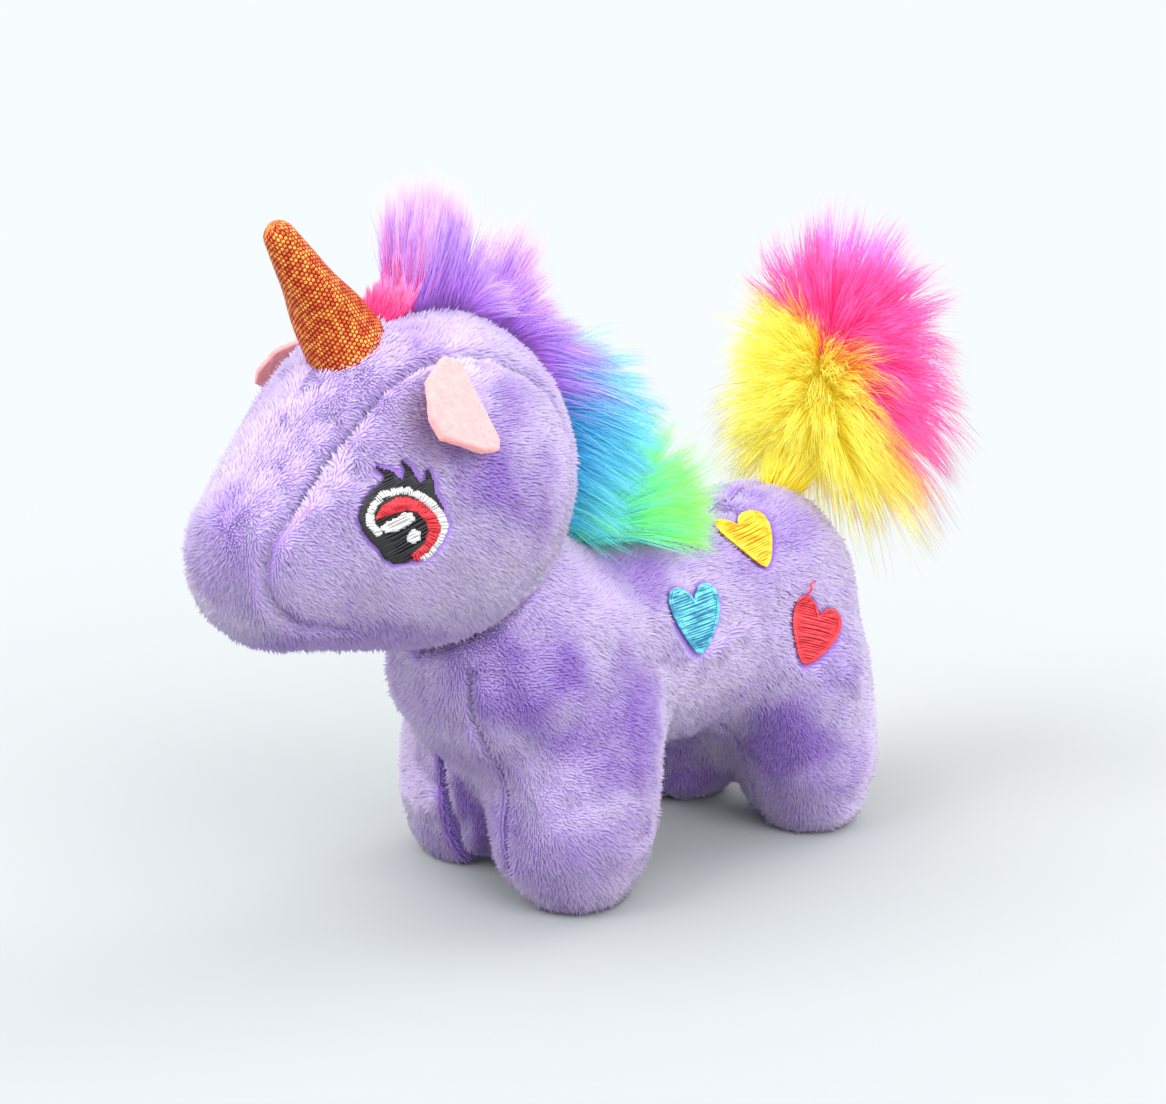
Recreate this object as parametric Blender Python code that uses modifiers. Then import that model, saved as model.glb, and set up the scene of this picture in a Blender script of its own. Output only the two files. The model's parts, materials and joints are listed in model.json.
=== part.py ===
"""A small plush unicorn: stuffed head and body in short-pile plush, felt ears, a foil-cloth horn,
long-pile mane and tail, and embroidered eyes and hearts. It stands on Z = 0 with its nose along -Y
and its left side along +X. The head nods at its sewn neck, the ears flap at their sewn edges, and
the tail swings at its root."""

import math

import bmesh
import bpy
from mathutils import Matrix, Vector

MM = 0.001  # every dimension below is in millimetres

# Fabric, stuffing and the space between pieces
FABRIC = 1.0
GAP = 0.4
STUFFING_GAP = 1.2
VOXEL = 3.2
SMOOTHING = 6
SLIM_VOXEL = 1.4
SLIM_SMOOTHING = 2
COARSENESS = 0.22

# Stuffed forms: each mass is (centre, radii), each leg (foot's X, foot's Y, foot's radius)
BARREL = ((0, 2, 37), (18.5, 39, 20))
CHEST = ((0, -28, 39), (22, 22, 20))
RUMP = ((0, 26, 38.5), (20.5, 17.5, 20.5))
NECK = ((0, -33, 48), (17, 17, 17))
SKULL = ((0, -49, 72), (25.5, 27, 27))
CHEEK = ((0, -60, 68), (22.5, 22, 21))
MUZZLE = ((0, -74, 64), (15.5, 14.5, 15))
LEGS = {
    "front_left": (12.2, -26.5, 14.1),
    "front_right": (-15.5, -25.5, 12.8),
    "hind_left": (13.6, 27.0, 12.8),
    "hind_right": (-12.4, 21.5, 12.8),
}
LEG_TOP_SHARE = 0.9
LEG_TOP_Z = 28.0
LEG_TOP_R = 14.0
SOLE_T = 1.2
SOLE_R = 7.4

# Neck seam: the plane where head and body meet, and the nod's axis through its middle
NECK_CENTRE = (0, -37, 53)
NECK_NORMAL = (0, -0.67, 0.74)
NECK_SPACE = 2.2

HANDS = (("left", 1), ("right", -1))

# Seams: half width of the head's centre panel and of the belly panel
HEAD_PANEL = 12.2
HEAD_PANEL_SLOPE_Y = 0.16
HEAD_PANEL_SLOPE_Z = -0.03
HEAD_PANEL_AT = (0, -60, 92)
BELLY_PANEL = 9.0
BACK_SPLIT_AT = (0, 0, 38)
BACK_SPLIT_NORMAL = (0, 0.12, 1)

# Embroidery stands a little proud of the fabric
STITCHING = 0.8
HEART_W = 9.5
HEART_H = 11.0
HEARTS = {
    "blue": ((16.8, -4.5, 44.6), -2),
    "yellow": ((10.5, 15.9, 53.4), -6),
    "red": ((20.4, 20.6, 38.4), -26),
}
EYE_CENTRE = (20.4, -66.4, 71.5)
EYE_FACING = (0.9, -0.4, 0.17)
EYE_WIDTH = 14.8
EYE_HEIGHT = 13.4
EYE_LASHES = ((58, 10.2), (82, 10.4), (108, 10.4))
EYE_RIM_W = 0.9
EYE_RIM_ARC = (20, 195)
PUPIL_CENTRE = (-0.9, -2.4)
PUPIL_SIZE = 6.0
PUPIL_ARC = (215, 495)
WHITE_RING = (1.4, 1.1, -60, 178)
RED_RING = (2.9, 1.2, -32, 150)
GLINT_SIZE = (2.2, 1.6)

# Horn: a squashed soft cone of foil cloth
HORN_BASE = (0, -60.5, 94)
HORN_TIP = (0, -72, 114)
HORN_BASE_R = 5.6
HORN_TIP_R = 2.3
HORN_CLOTH = 0.4
HORN_STUFFING_INSET = 0.8
HORN_ROOT_DEPTH = 4.0
HORN_LENGTH = (Vector(HORN_TIP) - Vector(HORN_BASE)).length

# Ears: felt flaps, hinged on their rear edge
EAR_HINGE_TOP = (17.3, -54, 93.4)
EAR_HINGE_BOTTOM = (24.9, -52.5, 82.2)
EAR_REACH = {"left": 13.2, "right": 9.8}
EAR_REACHES = (0.26, -0.96, 0.08)
EAR_T = 1.5
EAR_OUTLINE = (
    (0, 0),
    (0.1, -0.12),
    (0.35, -0.1),
    (0.98, 0.16),
    (1.0, 0.4),
    (0.72, 0.85),
    (0.25, 1.08),
    (0, 1),
)

# Long-pile fur: the mane along the midline, and the tail
MANE_STRIP = 6.0
MANE_ON_HEAD = (((0, -56, 99), (0, 0.72, 0.7)),)
MANE_ON_BODY = (((0, -16, 50), (0, 1, 0)), ((0, 5, 50), (0, -1, 0)), ((0, 0, 50), (0, 0, 1)))
MANE_MASSES = (
    ((0, -53, 97.5), (5, 5, 5)),
    ((0, -42, 103), (7.5, 9, 12)),
    ((0, -32, 99), (9, 10, 11)),
    ((0, -22, 89), (10, 11, 11)),
    ((0, -13, 78), (11, 12, 11)),
    ((0, -3, 69), (11, 14, 10)),
)
MANE_CUTS = (((0, -51, 100), (0, 1, -0.1)), ((0, -26, 92), (0, 0.65, -0.75)))
MANE_SPLIT_AT = (0, -16, 70)
MANE_SPLIT_DEG = 14.0
MANE_HEAD_SPACE = 5.0
TAIL_ROOT = (0, 33, 56)
TAIL_TOP = (0, 46, 82)
TAIL_CORE_R = 3.0
TAIL_CORE_SPACE = 1.0
TAIL_FUR_SPACE = 4.0
TAIL_MASSES = (
    ((0, 41, 66), (17, 16, 16)),
    ((0, 49, 77), (19, 19, 22)),
    ((0, 57, 60), (14, 11, 20)),
)
TAIL_BANDS = (0, 0.75, 0.66)
TAIL_CUTS = ((0, 44, 68), (0, 48, 71), (0, 58, 82))

PLUSH_PURPLE = (0.42, 0.28, 0.68)
STUFFING_WHITE = (0.9, 0.9, 0.88)
COLOURS = {
    "body_filling": (STUFFING_WHITE, 0.9, 0.0),
    "head_filling": (STUFFING_WHITE, 0.9, 0.0),
    "horn_filling": (STUFFING_WHITE, 0.9, 0.0),
    "horn_cover": ((0.62, 0.16, 0.04), 0.35, 0.8),
    "ear": ((0.94, 0.45, 0.47), 0.9, 0.0),
    "heart_blue": ((0.13, 0.6, 0.75), 0.5, 0.0),
    "heart_yellow": ((0.95, 0.72, 0.04), 0.5, 0.0),
    "heart_red": ((0.85, 0.05, 0.08), 0.5, 0.0),
    "eye_black": ((0.01, 0.01, 0.012), 0.5, 0.0),
    "eye_white": ((0.72, 0.72, 0.7), 0.5, 0.0),
    "eye_red": ((0.8, 0.04, 0.06), 0.5, 0.0),
    "eye_glint": ((0.8, 0.8, 0.8), 0.5, 0.0),
    "mane_pink": ((0.95, 0.1, 0.45), 0.7, 0.0),
    "mane_purple": ((0.5, 0.3, 0.8), 0.7, 0.0),
    "mane_blue": ((0.1, 0.6, 0.9), 0.7, 0.0),
    "mane_green": ((0.4, 0.9, 0.15), 0.7, 0.0),
    "tail_yellow": ((0.98, 0.82, 0.05), 0.7, 0.0),
    "tail_orange": ((0.98, 0.45, 0.03), 0.7, 0.0),
    "tail_pink": ((0.95, 0.08, 0.4), 0.7, 0.0),
    "tail_purple": ((0.55, 0.3, 0.8), 0.7, 0.0),
}


# ---------------------------------------------------------------- scene and materials


def clear_scene():
    for obj in list(bpy.data.objects):
        bpy.data.objects.remove(obj, do_unlink=True)


def new_collection(name):
    collection = bpy.data.collections.new(name)
    bpy.context.scene.collection.children.link(collection)
    return collection


def colour_of(name):
    """The colour set whose key starts the node's name; plush purple for the sewn panels."""
    for key, look in COLOURS.items():
        if name.startswith(key):
            return look
    return (PLUSH_PURPLE, 0.95, 0.0)


def own_material(name):
    colour, roughness, metallic = colour_of(name)
    material = bpy.data.materials.new(name)
    material.use_nodes = True
    shader = material.node_tree.nodes["Principled BSDF"]
    shader.inputs["Base Color"].default_value = (*colour, 1)
    shader.inputs["Roughness"].default_value = roughness
    shader.inputs["Metallic"].default_value = metallic
    return material


def add_piece(name, mesh, collection, pivot=None):
    """A finished node from a mesh in world millimetres, its origin on its joint's axis or at 0."""
    at = Vector(pivot or (0, 0, 0)) * MM
    mesh.transform(Matrix.Scale(MM, 4))
    mesh.transform(Matrix.Translation(-at))
    mesh.materials.clear()
    mesh.materials.append(own_material(name))
    mesh.shade_smooth()
    mesh.set_sharp_from_angle(angle=math.radians(40))
    obj = bpy.data.objects.new(name, mesh)
    obj.location = at
    collection.objects.link(obj)
    return obj


# ---------------------------------------------------------------- mesh tools, all in millimetres


def mesh_of(bm, name="form"):
    mesh = bpy.data.meshes.new(name)
    bm.to_mesh(mesh)
    bm.free()
    return mesh


def ball(bm, centre, radii, rings=12):
    place = Matrix.Translation(centre) @ Matrix.Diagonal((*radii, 1))
    bmesh.ops.create_uvsphere(bm, u_segments=2 * rings, v_segments=rings, radius=1, matrix=place)


def limb(bm, top, top_r, bottom, bottom_r):
    """A tapered round limb with ball ends."""
    top, bottom = Vector(top), Vector(bottom)
    turn = (top - bottom).to_track_quat("Z", "Y").to_matrix().to_4x4()
    place = Matrix.Translation((top + bottom) / 2) @ turn
    bmesh.ops.create_cone(
        bm,
        cap_ends=True,
        segments=24,
        radius1=bottom_r,
        radius2=top_r,
        depth=(top - bottom).length,
        matrix=place,
    )
    ball(bm, top, (top_r,) * 3)
    ball(bm, bottom, (bottom_r,) * 3)


def with_modifiers(mesh, *settings):
    """The mesh after modifiers, each given as (type, {property: value})."""
    obj = bpy.data.objects.new("work", mesh)
    bpy.context.scene.collection.objects.link(obj)
    for kind, values in settings:
        modifier = obj.modifiers.new(kind.title(), kind)
        for key, value in values.items():
            setattr(modifier, key, value)
    depsgraph = bpy.context.evaluated_depsgraph_get()
    result = bpy.data.meshes.new_from_object(obj.evaluated_get(depsgraph))
    bpy.data.objects.remove(obj, do_unlink=True)
    return result


def soft_form(masses, limbs=(), voxel=VOXEL):
    """One smooth closed form from overlapping masses and limbs."""
    bm = bmesh.new()
    for centre, radii in masses:
        ball(bm, centre, radii)
    for one in limbs:
        limb(bm, *one)
    return with_modifiers(
        mesh_of(bm),
        ("REMESH", {"mode": "VOXEL", "voxel_size": voxel}),
        ("SMOOTH", {"factor": 0.5, "iterations": SMOOTHING}),
        ("DECIMATE", {"ratio": COARSENESS}),
    )


def slim_form(*one_limb):
    """A single tapered limb as a smooth closed form, finer than the stuffed ones."""
    bm = bmesh.new()
    limb(bm, *one_limb)
    return with_modifiers(
        mesh_of(bm),
        ("REMESH", {"mode": "VOXEL", "voxel_size": SLIM_VOXEL}),
        ("SMOOTH", {"iterations": SLIM_SMOOTHING}),
        ("DECIMATE", {"ratio": COARSENESS}),
    )


def grown(mesh, distance):
    """A copy of a closed form with its surface moved outwards, or inwards where negative."""
    return with_modifiers(mesh.copy(), ("DISPLACE", {"strength": distance, "mid_level": 0.0}))


def combine(mesh, other, operation):
    cutter = bpy.data.objects.new("cutter", other)
    bpy.context.scene.collection.objects.link(cutter)
    result = with_modifiers(
        mesh, ("BOOLEAN", {"object": cutter, "operation": operation, "solver": "EXACT"})
    )
    bpy.data.objects.remove(cutter, do_unlink=True)
    return result


def sliced(mesh, point, normal, cap=True):
    """What is left of a mesh on the normal's side of a plane, closed again where cap is set."""
    bm = bmesh.new()
    bm.from_mesh(mesh)
    cut = bmesh.ops.bisect_plane(
        bm,
        geom=bm.verts[:] + bm.edges[:] + bm.faces[:],
        plane_co=point,
        plane_no=normal,
        clear_inner=True,
    )
    rim = [item for item in cut["geom_cut"] if isinstance(item, bmesh.types.BMEdge)]
    if cap and rim:
        bmesh.ops.triangle_fill(bm, edges=rim, use_beauty=True)
        bmesh.ops.recalc_face_normals(bm, faces=bm.faces[:])
    return mesh_of(bm)


def mirrored(mesh):
    bm = bmesh.new()
    bm.from_mesh(mesh)
    bmesh.ops.scale(bm, vec=(-1, 1, 1), verts=bm.verts[:])
    bmesh.ops.reverse_faces(bm, faces=bm.faces[:])
    return mesh_of(bm)


def lined(mesh):
    """An open panel given its fabric's thickness, on the inside."""
    return with_modifiers(mesh, ("SOLIDIFY", {"thickness": FABRIC, "offset": -1.0}))


def seamed(mesh, planes, keep):
    """The faces of a surface that keep() accepts, after a strip is cut away along each seam plane."""
    bm = bmesh.new()
    bm.from_mesh(mesh)
    for point, normal in planes:
        step = Vector(normal).normalized() * GAP / 2
        for side in (-1, 1):
            bmesh.ops.bisect_plane(
                bm,
                geom=bm.verts[:] + bm.edges[:] + bm.faces[:],
                plane_co=Vector(point) + side * step,
                plane_no=normal,
            )
    unwanted = [face for face in bm.faces if not keep(face.calc_center_median())]
    bmesh.ops.delete(bm, geom=unwanted, context="FACES")
    loose = [vert for vert in bm.verts if not vert.link_faces]
    bmesh.ops.delete(bm, geom=loose, context="VERTS")
    return mesh_of(bm)


def beyond(point, plane):
    """How far a point is past a plane, less the half gap of the seam that runs along it."""
    place, normal = plane
    return (point - Vector(place)).dot(Vector(normal).normalized()) - GAP / 2


# ---------------------------------------------------------------- body


def body_form():
    legs = []
    for x, y, radius in LEGS.values():
        top = (x * LEG_TOP_SHARE, y * LEG_TOP_SHARE, LEG_TOP_Z)
        legs.append((top, LEG_TOP_R, (x, y, radius - SOLE_T), radius))
    return soft_form((BARREL, CHEST, RUMP, NECK), legs)


def neck_plane(side):
    """The neck seam's plane, moved to the head's side (1) or the body's side (-1)."""
    normal = Vector(NECK_NORMAL).normalized()
    return Vector(NECK_CENTRE) + normal * side * NECK_SPACE / 2, normal * side


def make_body(parts, form):
    point, normal = neck_plane(-1)
    floor = SOLE_T + GAP
    filling = sliced(grown(form, -FABRIC - STUFFING_GAP), point, normal)
    filling = sliced(filling, (0, 0, floor + FABRIC), (0, 0, 1))
    add_piece("body_filling", filling, parts)

    skin = sliced(sliced(form, point, normal, cap=False), (0, 0, floor), (0, 0, 1), cap=False)
    left_edge = ((BELLY_PANEL, 0, 0), (1, 0, 0))
    right_edge = ((-BELLY_PANEL, 0, 0), (-1, 0, 0))
    back_seams = (((0, 0, 0), (1, 0, 0)), ((0, 0, 0), (-1, 0, 0)))
    back_split = (BACK_SPLIT_AT, BACK_SPLIT_NORMAL)

    def is_side(p, edge, seam):
        return beyond(p, edge) > 0 or (beyond(p, seam) > 0 and beyond(p, back_split) > 0)

    def is_belly(p):
        low = beyond(p, back_split) < -GAP
        return low and beyond(p, left_edge) < -GAP and beyond(p, right_edge) < -GAP

    for hand, edge, seam in zip(("left", "right"), (left_edge, right_edge), back_seams):
        side = seamed(skin, (edge, seam, back_split), lambda p: is_side(p, edge, seam))
        add_piece(f"body_side_{hand}", lined(side), parts)
    belly = seamed(skin, (left_edge, right_edge, back_split), is_belly)
    add_piece("belly_panel", lined(belly), parts)


def make_soles(parts):
    for name, (x, y, _) in LEGS.items():
        bm = bmesh.new()
        bmesh.ops.create_cone(
            bm,
            cap_ends=True,
            segments=24,
            radius1=SOLE_R,
            radius2=SOLE_R,
            depth=SOLE_T,
            matrix=Matrix.Translation((x, y, SOLE_T / 2)),
        )
        add_piece(f"sole_{name}", mesh_of(bm), parts)


# ---------------------------------------------------------------- head


def head_form():
    return soft_form((SKULL, CHEEK, MUZZLE))


def head_edge(side):
    """The seam plane between the centre panel and a side panel."""
    normal = Vector((side, -HEAD_PANEL_SLOPE_Y, -HEAD_PANEL_SLOPE_Z))
    point = Vector(HEAD_PANEL_AT) + Vector((side * HEAD_PANEL, 0, 0))
    return point, normal


def make_head(parts, form):
    point, normal = neck_plane(1)
    filling = sliced(grown(form, -FABRIC - STUFFING_GAP), point, normal)
    add_piece("head_filling", filling, parts, NECK_CENTRE)

    skin = sliced(form, point, normal, cap=False)
    left, right = head_edge(1), head_edge(-1)
    side = lined(seamed(skin, (left,), lambda p: beyond(p, left) > 0 and p.x > 0))
    middle = lined(
        seamed(skin, (left, right), lambda p: max(beyond(p, left), beyond(p, right)) < -GAP)
    )
    add_piece("head_side_left", side.copy(), parts, NECK_CENTRE)
    add_piece("head_side_right", mirrored(side), parts, NECK_CENTRE)
    add_piece("head_centre_panel", middle, parts, NECK_CENTRE)


# ---------------------------------------------------------------- embroidery


def patch(form, outline, centre, facing, turn, side, level=GAP):
    """A thin piece that lies on a form: an outline's prism cut to a layer above the surface.
    side is 1 on the left, where the outline is drawn, and -1 for its mirror image on the right."""
    facing = Vector(facing).normalized()
    across = Vector((0, 0, 1)).cross(facing).normalized()
    up = facing.cross(across)
    frame = Matrix((across, up, facing)).transposed().to_4x4()
    place = Matrix.Translation(centre) @ frame @ Matrix.Rotation(math.radians(turn), 4, "Z")
    bm = bmesh.new()
    base = [bm.verts.new((u, v, -5)) for u, v in outline]
    face = bm.faces.new(base)
    lifted = bmesh.ops.extrude_face_region(bm, geom=[face])["geom"]
    top = [item for item in lifted if isinstance(item, bmesh.types.BMVert)]
    bmesh.ops.translate(bm, vec=(0, 0, 10), verts=top)
    bmesh.ops.transform(bm, matrix=place, verts=bm.verts[:])
    bmesh.ops.scale(bm, vec=(side, 1, 1), verts=bm.verts[:])
    bmesh.ops.recalc_face_normals(bm, faces=bm.faces[:])
    layer = combine(mesh_of(bm), grown(form, level + STITCHING), "INTERSECT")
    return combine(layer, grown(form, level), "DIFFERENCE")


def heart_outline(width, height, steps=22):
    """A heart round a centre: the classic sine-cubed curve, point down."""
    points = []
    for step in range(steps):
        a = 2 * math.pi * step / steps
        u = math.sin(a) ** 3
        v = (13 * math.cos(a) - 5 * math.cos(2 * a) - 2 * math.cos(3 * a) - math.cos(4 * a)) / 16
        points.append((u * width / 2, v * height / 2))
    return points


def make_hearts(parts, form):
    outline = heart_outline(HEART_W, HEART_H)
    for colour, (centre, turn) in HEARTS.items():
        facing = (centre[0], 0, 0.6 * (centre[2] - BARREL[0][2]))
        for hand, side in HANDS:
            piece = patch(form, outline, centre, facing, turn, side)
            add_piece(f"heart_{colour}_{hand}", piece, parts)


def arc(width, height, start, stop, steps, centre=(0, 0)):
    """Points on an ellipse, in degrees anticlockwise from the right."""
    points = []
    for step in range(steps + 1):
        a = math.radians(start + (stop - start) * step / steps)
        points.append((centre[0] + width / 2 * math.cos(a), centre[1] + height / 2 * math.sin(a)))
    return points


def ring(inset, thickness, start, stop, steps):
    """Part of an elliptical ring, inset from the eye's outline."""
    outer = (EYE_WIDTH - 2 * inset, EYE_HEIGHT - 2 * inset)
    inner = (outer[0] - 2 * thickness, outer[1] - 2 * thickness)
    return arc(*outer, start, stop, steps) + arc(*inner, stop, start, steps)


def eye_black_outline():
    """The rim with three lashes, run on into the pupil low at its front end."""
    outline = []
    start, stop = EYE_RIM_ARC
    for angle, reach in EYE_LASHES:
        outline += arc(EYE_WIDTH, EYE_HEIGHT, start, angle - 6, 3)
        tip = math.radians(angle + 5)
        outline.append((reach * math.cos(tip), reach * math.sin(tip)))
        start = angle + 6
    outline += arc(EYE_WIDTH, EYE_HEIGHT, start, stop, 6)
    outline += arc(PUPIL_SIZE, PUPIL_SIZE, *PUPIL_ARC, 12, PUPIL_CENTRE)
    inner = (EYE_WIDTH - 2 * EYE_RIM_W, EYE_HEIGHT - 2 * EYE_RIM_W)
    return outline + arc(*inner, stop - 7, EYE_RIM_ARC[0], 12)


def make_eye_outlines():
    """Colour, outline and height above the fabric of the eye's stitched fields."""
    return (
        ("black", eye_black_outline(), GAP),
        ("white", ring(*WHITE_RING, 16), GAP),
        ("red", ring(*RED_RING, 12), GAP),
        ("glint", arc(*GLINT_SIZE, 0, 330, 9, PUPIL_CENTRE), 2 * GAP + STITCHING),
    )


def make_eyes(parts, form):
    for colour, outline, level in make_eye_outlines():
        for hand, side in HANDS:
            piece = patch(form, outline, EYE_CENTRE, EYE_FACING, 0, side, level)
            add_piece(f"eye_{colour}_{hand}", piece, parts, NECK_CENTRE)


# ---------------------------------------------------------------- horn and ears


def horn_solid(shrink, form):
    """The horn as a tapered limb cut off by the head it is sewn to."""
    axis = (Vector(HORN_TIP) - Vector(HORN_BASE)).normalized()
    root = Vector(HORN_BASE) - axis * HORN_ROOT_DEPTH
    root_r = HORN_BASE_R * (1 + HORN_ROOT_DEPTH / HORN_LENGTH)
    tip = Vector(HORN_TIP) - axis * HORN_TIP_R
    whole = slim_form(tip, HORN_TIP_R - shrink, root, root_r - shrink)
    return combine(whole, grown(form, GAP), "DIFFERENCE")


def make_horn(parts, form):
    cover = horn_solid(0, form)
    filling = horn_solid(HORN_STUFFING_INSET, form)
    hollow = horn_solid(HORN_CLOTH, grown(form, -HORN_ROOT_DEPTH + FABRIC))
    add_piece("horn_cover", combine(cover, hollow, "DIFFERENCE"), parts, NECK_CENTRE)
    add_piece("horn_filling", filling, parts, NECK_CENTRE)


def ear_flap(reach_out):
    """A rounded felt flap on the left, in the plane that leans forward from its sewn edge."""
    top, bottom = Vector(EAR_HINGE_TOP), Vector(EAR_HINGE_BOTTOM)
    edge = top - bottom
    outline = [(u * reach_out, v * edge.length) for u, v in EAR_OUTLINE]
    along = edge.normalized()
    facing = Vector(EAR_REACHES).cross(along).normalized()
    reach = along.cross(facing)
    frame = Matrix((reach, along, facing)).transposed().to_4x4()
    bm = bmesh.new()
    face = bm.faces.new([bm.verts.new((u, v, -EAR_T / 2)) for u, v in outline])
    lifted = bmesh.ops.extrude_face_region(bm, geom=[face])["geom"]
    raised = [item for item in lifted if isinstance(item, bmesh.types.BMVert)]
    bmesh.ops.translate(bm, vec=(0, 0, EAR_T), verts=raised)
    bmesh.ops.recalc_face_normals(bm, faces=bm.faces[:])
    bmesh.ops.transform(bm, matrix=Matrix.Translation(bottom) @ frame, verts=bm.verts[:])
    return mesh_of(bm)


def make_ears(parts):
    """The ears, of which the right one is sewn in deeper and so stands out less."""
    x, y, z = EAR_HINGE_BOTTOM
    add_piece("ear_left", ear_flap(EAR_REACH["left"]), parts, (x, y, z))
    add_piece("ear_right", mirrored(ear_flap(EAR_REACH["right"])), parts, (-x, y, z))


# ---------------------------------------------------------------- mane and tail


def band_of(whole, before, after):
    """The slab of a form between two cutting planes, each left half a gap away."""
    slab = whole
    for plane, side in ((before, 1), (after, -1)):
        if plane is None:
            continue
        point, normal = plane
        normal = Vector(normal).normalized() * side
        slab = sliced(slab, Vector(point) + normal * GAP / 2, normal)
    return slab


def mane_split(side):
    """A plane through the neck's axis above (1) or below (-1) the gap that lets the head nod."""
    out = Vector(MANE_SPLIT_AT) - Vector(NECK_CENTRE)
    normal = Vector((0, out.z, -out.y))
    turn = Matrix.Rotation(side * math.radians(MANE_SPLIT_DEG) / 2, 3, "X")
    return NECK_CENTRE, turn @ normal


def backing_strip(form, planes):
    """The fur's woven backing: a strip laid on a form along its midline, between planes."""
    bm = bmesh.new()
    bmesh.ops.create_cube(bm, size=1, matrix=Matrix.Diagonal((MANE_STRIP, 250, 250, 1)))
    loop = combine(mesh_of(bm), grown(form, GAP + FABRIC), "INTERSECT")
    loop = combine(loop, grown(form, GAP), "DIFFERENCE")
    for point, normal in planes:
        loop = sliced(loop, point, normal)
    return loop


def make_mane(parts, head, body):
    on_head = backing_strip(head, (*MANE_ON_HEAD, neck_plane(1)))
    add_piece("mane_backing_head", on_head, parts, NECK_CENTRE)
    add_piece("mane_backing_body", backing_strip(body, MANE_ON_BODY), parts)
    whole = soft_form(MANE_MASSES)
    for form in (head, body):
        whole = combine(whole, grown(form, 2 * GAP + FABRIC), "DIFFERENCE")
    cuts = [None, *MANE_CUTS, mane_split(1)]
    for index, colour in enumerate(("pink", "purple", "blue")):
        slab = band_of(whole, cuts[index], cuts[index + 1])
        add_piece(f"mane_{colour}", slab, parts, NECK_CENTRE)
    clear_of_head = combine(whole, grown(head, MANE_HEAD_SPACE), "DIFFERENCE")
    add_piece("mane_green", band_of(clear_of_head, mane_split(-1), None), parts)


def make_tail(parts, body):
    root, top = Vector(TAIL_ROOT), Vector(TAIL_TOP)
    core_form = slim_form(top, TAIL_CORE_R, root, TAIL_CORE_R)
    core = combine(core_form.copy(), grown(body, TAIL_CORE_SPACE), "DIFFERENCE")
    add_piece("tail_backing", core, parts, TAIL_ROOT)
    whole = combine(soft_form(TAIL_MASSES), grown(body, TAIL_FUR_SPACE), "DIFFERENCE")
    whole = combine(whole, grown(core_form, GAP), "DIFFERENCE")
    cuts = [None] + [(point, TAIL_BANDS) for point in TAIL_CUTS] + [None]
    for index, colour in enumerate(("yellow", "orange", "pink", "purple")):
        slab = band_of(whole, cuts[index], cuts[index + 1])
        add_piece(f"tail_{colour}", slab, parts, TAIL_ROOT)


def stand_over_origin(parts):
    """Moves the toy so that the middle of its footprint is over the origin."""
    bpy.context.view_layer.update()
    corners = [obj.matrix_world @ Vector(c) for obj in parts.objects for c in obj.bound_box]
    middle = Vector([(min(axis) + max(axis)) / 2 for axis in zip(*corners)])
    for obj in parts.objects:
        obj.location -= Vector((middle.x, middle.y, 0))


def main():
    clear_scene()
    parts = new_collection("plush_unicorn")
    body = body_form()
    head = head_form()
    make_body(parts, body)
    make_soles(parts)
    make_hearts(parts, body)
    make_head(parts, head)
    make_eyes(parts, head)
    make_horn(parts, head)
    make_ears(parts)
    make_mane(parts, head, body)
    make_tail(parts, body)
    stand_over_origin(parts)


main()
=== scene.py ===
"""The looks of a small plush unicorn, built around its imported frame: short-pile plush skins with sewn
seams, embroidered eyes and hearts, felt ears, a foil-cloth horn, and a long-pile mane and tail."""

import json
import math

import bmesh
import bpy
import numpy as np
from mathutils import Matrix, Vector
from mathutils.bvhtree import BVHTree


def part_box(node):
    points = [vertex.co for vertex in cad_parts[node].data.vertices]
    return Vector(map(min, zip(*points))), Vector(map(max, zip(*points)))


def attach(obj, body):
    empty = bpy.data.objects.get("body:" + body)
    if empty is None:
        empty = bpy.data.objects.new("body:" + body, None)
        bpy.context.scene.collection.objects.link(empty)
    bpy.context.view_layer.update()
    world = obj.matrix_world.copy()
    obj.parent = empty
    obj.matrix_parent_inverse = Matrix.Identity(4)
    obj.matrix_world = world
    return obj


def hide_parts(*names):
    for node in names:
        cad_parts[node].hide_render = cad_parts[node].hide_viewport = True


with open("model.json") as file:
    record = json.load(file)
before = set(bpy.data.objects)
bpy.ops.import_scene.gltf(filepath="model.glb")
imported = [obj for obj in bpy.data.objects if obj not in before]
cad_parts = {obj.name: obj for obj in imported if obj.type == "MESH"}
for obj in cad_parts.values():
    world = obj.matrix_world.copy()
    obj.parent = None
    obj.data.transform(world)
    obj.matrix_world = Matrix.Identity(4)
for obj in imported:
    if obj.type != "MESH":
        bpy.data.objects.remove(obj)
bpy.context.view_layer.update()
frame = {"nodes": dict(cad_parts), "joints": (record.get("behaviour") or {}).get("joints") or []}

MM = 0.001


def joint_place(name):
    """Where a joint's axis passes."""
    return next(joint["pos_m"] for joint in frame["joints"] if joint["name"] == name)


# Plush skins, in metres
SKIN_VOXEL = 0.95 * MM
SKIN_OVER_STUFFING = 1.3 * MM
SKIN_SMOOTHING = 14
SMOOTH_FACTOR = 0.5
SEAM_DEPTH = 1.3 * MM
SEAM_WIDTH = 0.75 * MM
STITCH_CLEAR = (0.55 * MM, 0.95 * MM)
FLOOR_CLEARANCE = 0.15 * MM

# Pile: its height and lean, the turns in its nap as (size, amount, seed), and its unevenness
PILE_HEIGHT = 1.15 * MM
PILE_LEAN = 0.85 * MM
PILE_JITTER = 0.16 * MM
NAP_DROP = -0.55
BODY_BRUSHED = 0.5
HEAD_BRUSHED = 1.0
NAP_TURNS = ((13 * MM, 1.2, 40), (2.4 * MM, 0.8, 50))
TUFT_CLUMP = 1.6 * MM
SEAM_TRIM = 0.75

# Feet: how far the soles drop and spread as they press flat, and how high that reaches
FOOT_DROP = 1.8 * MM
FOOT_SPREAD = 1.2 * MM
FOOT_CORNER = 8.0 * MM

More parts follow.
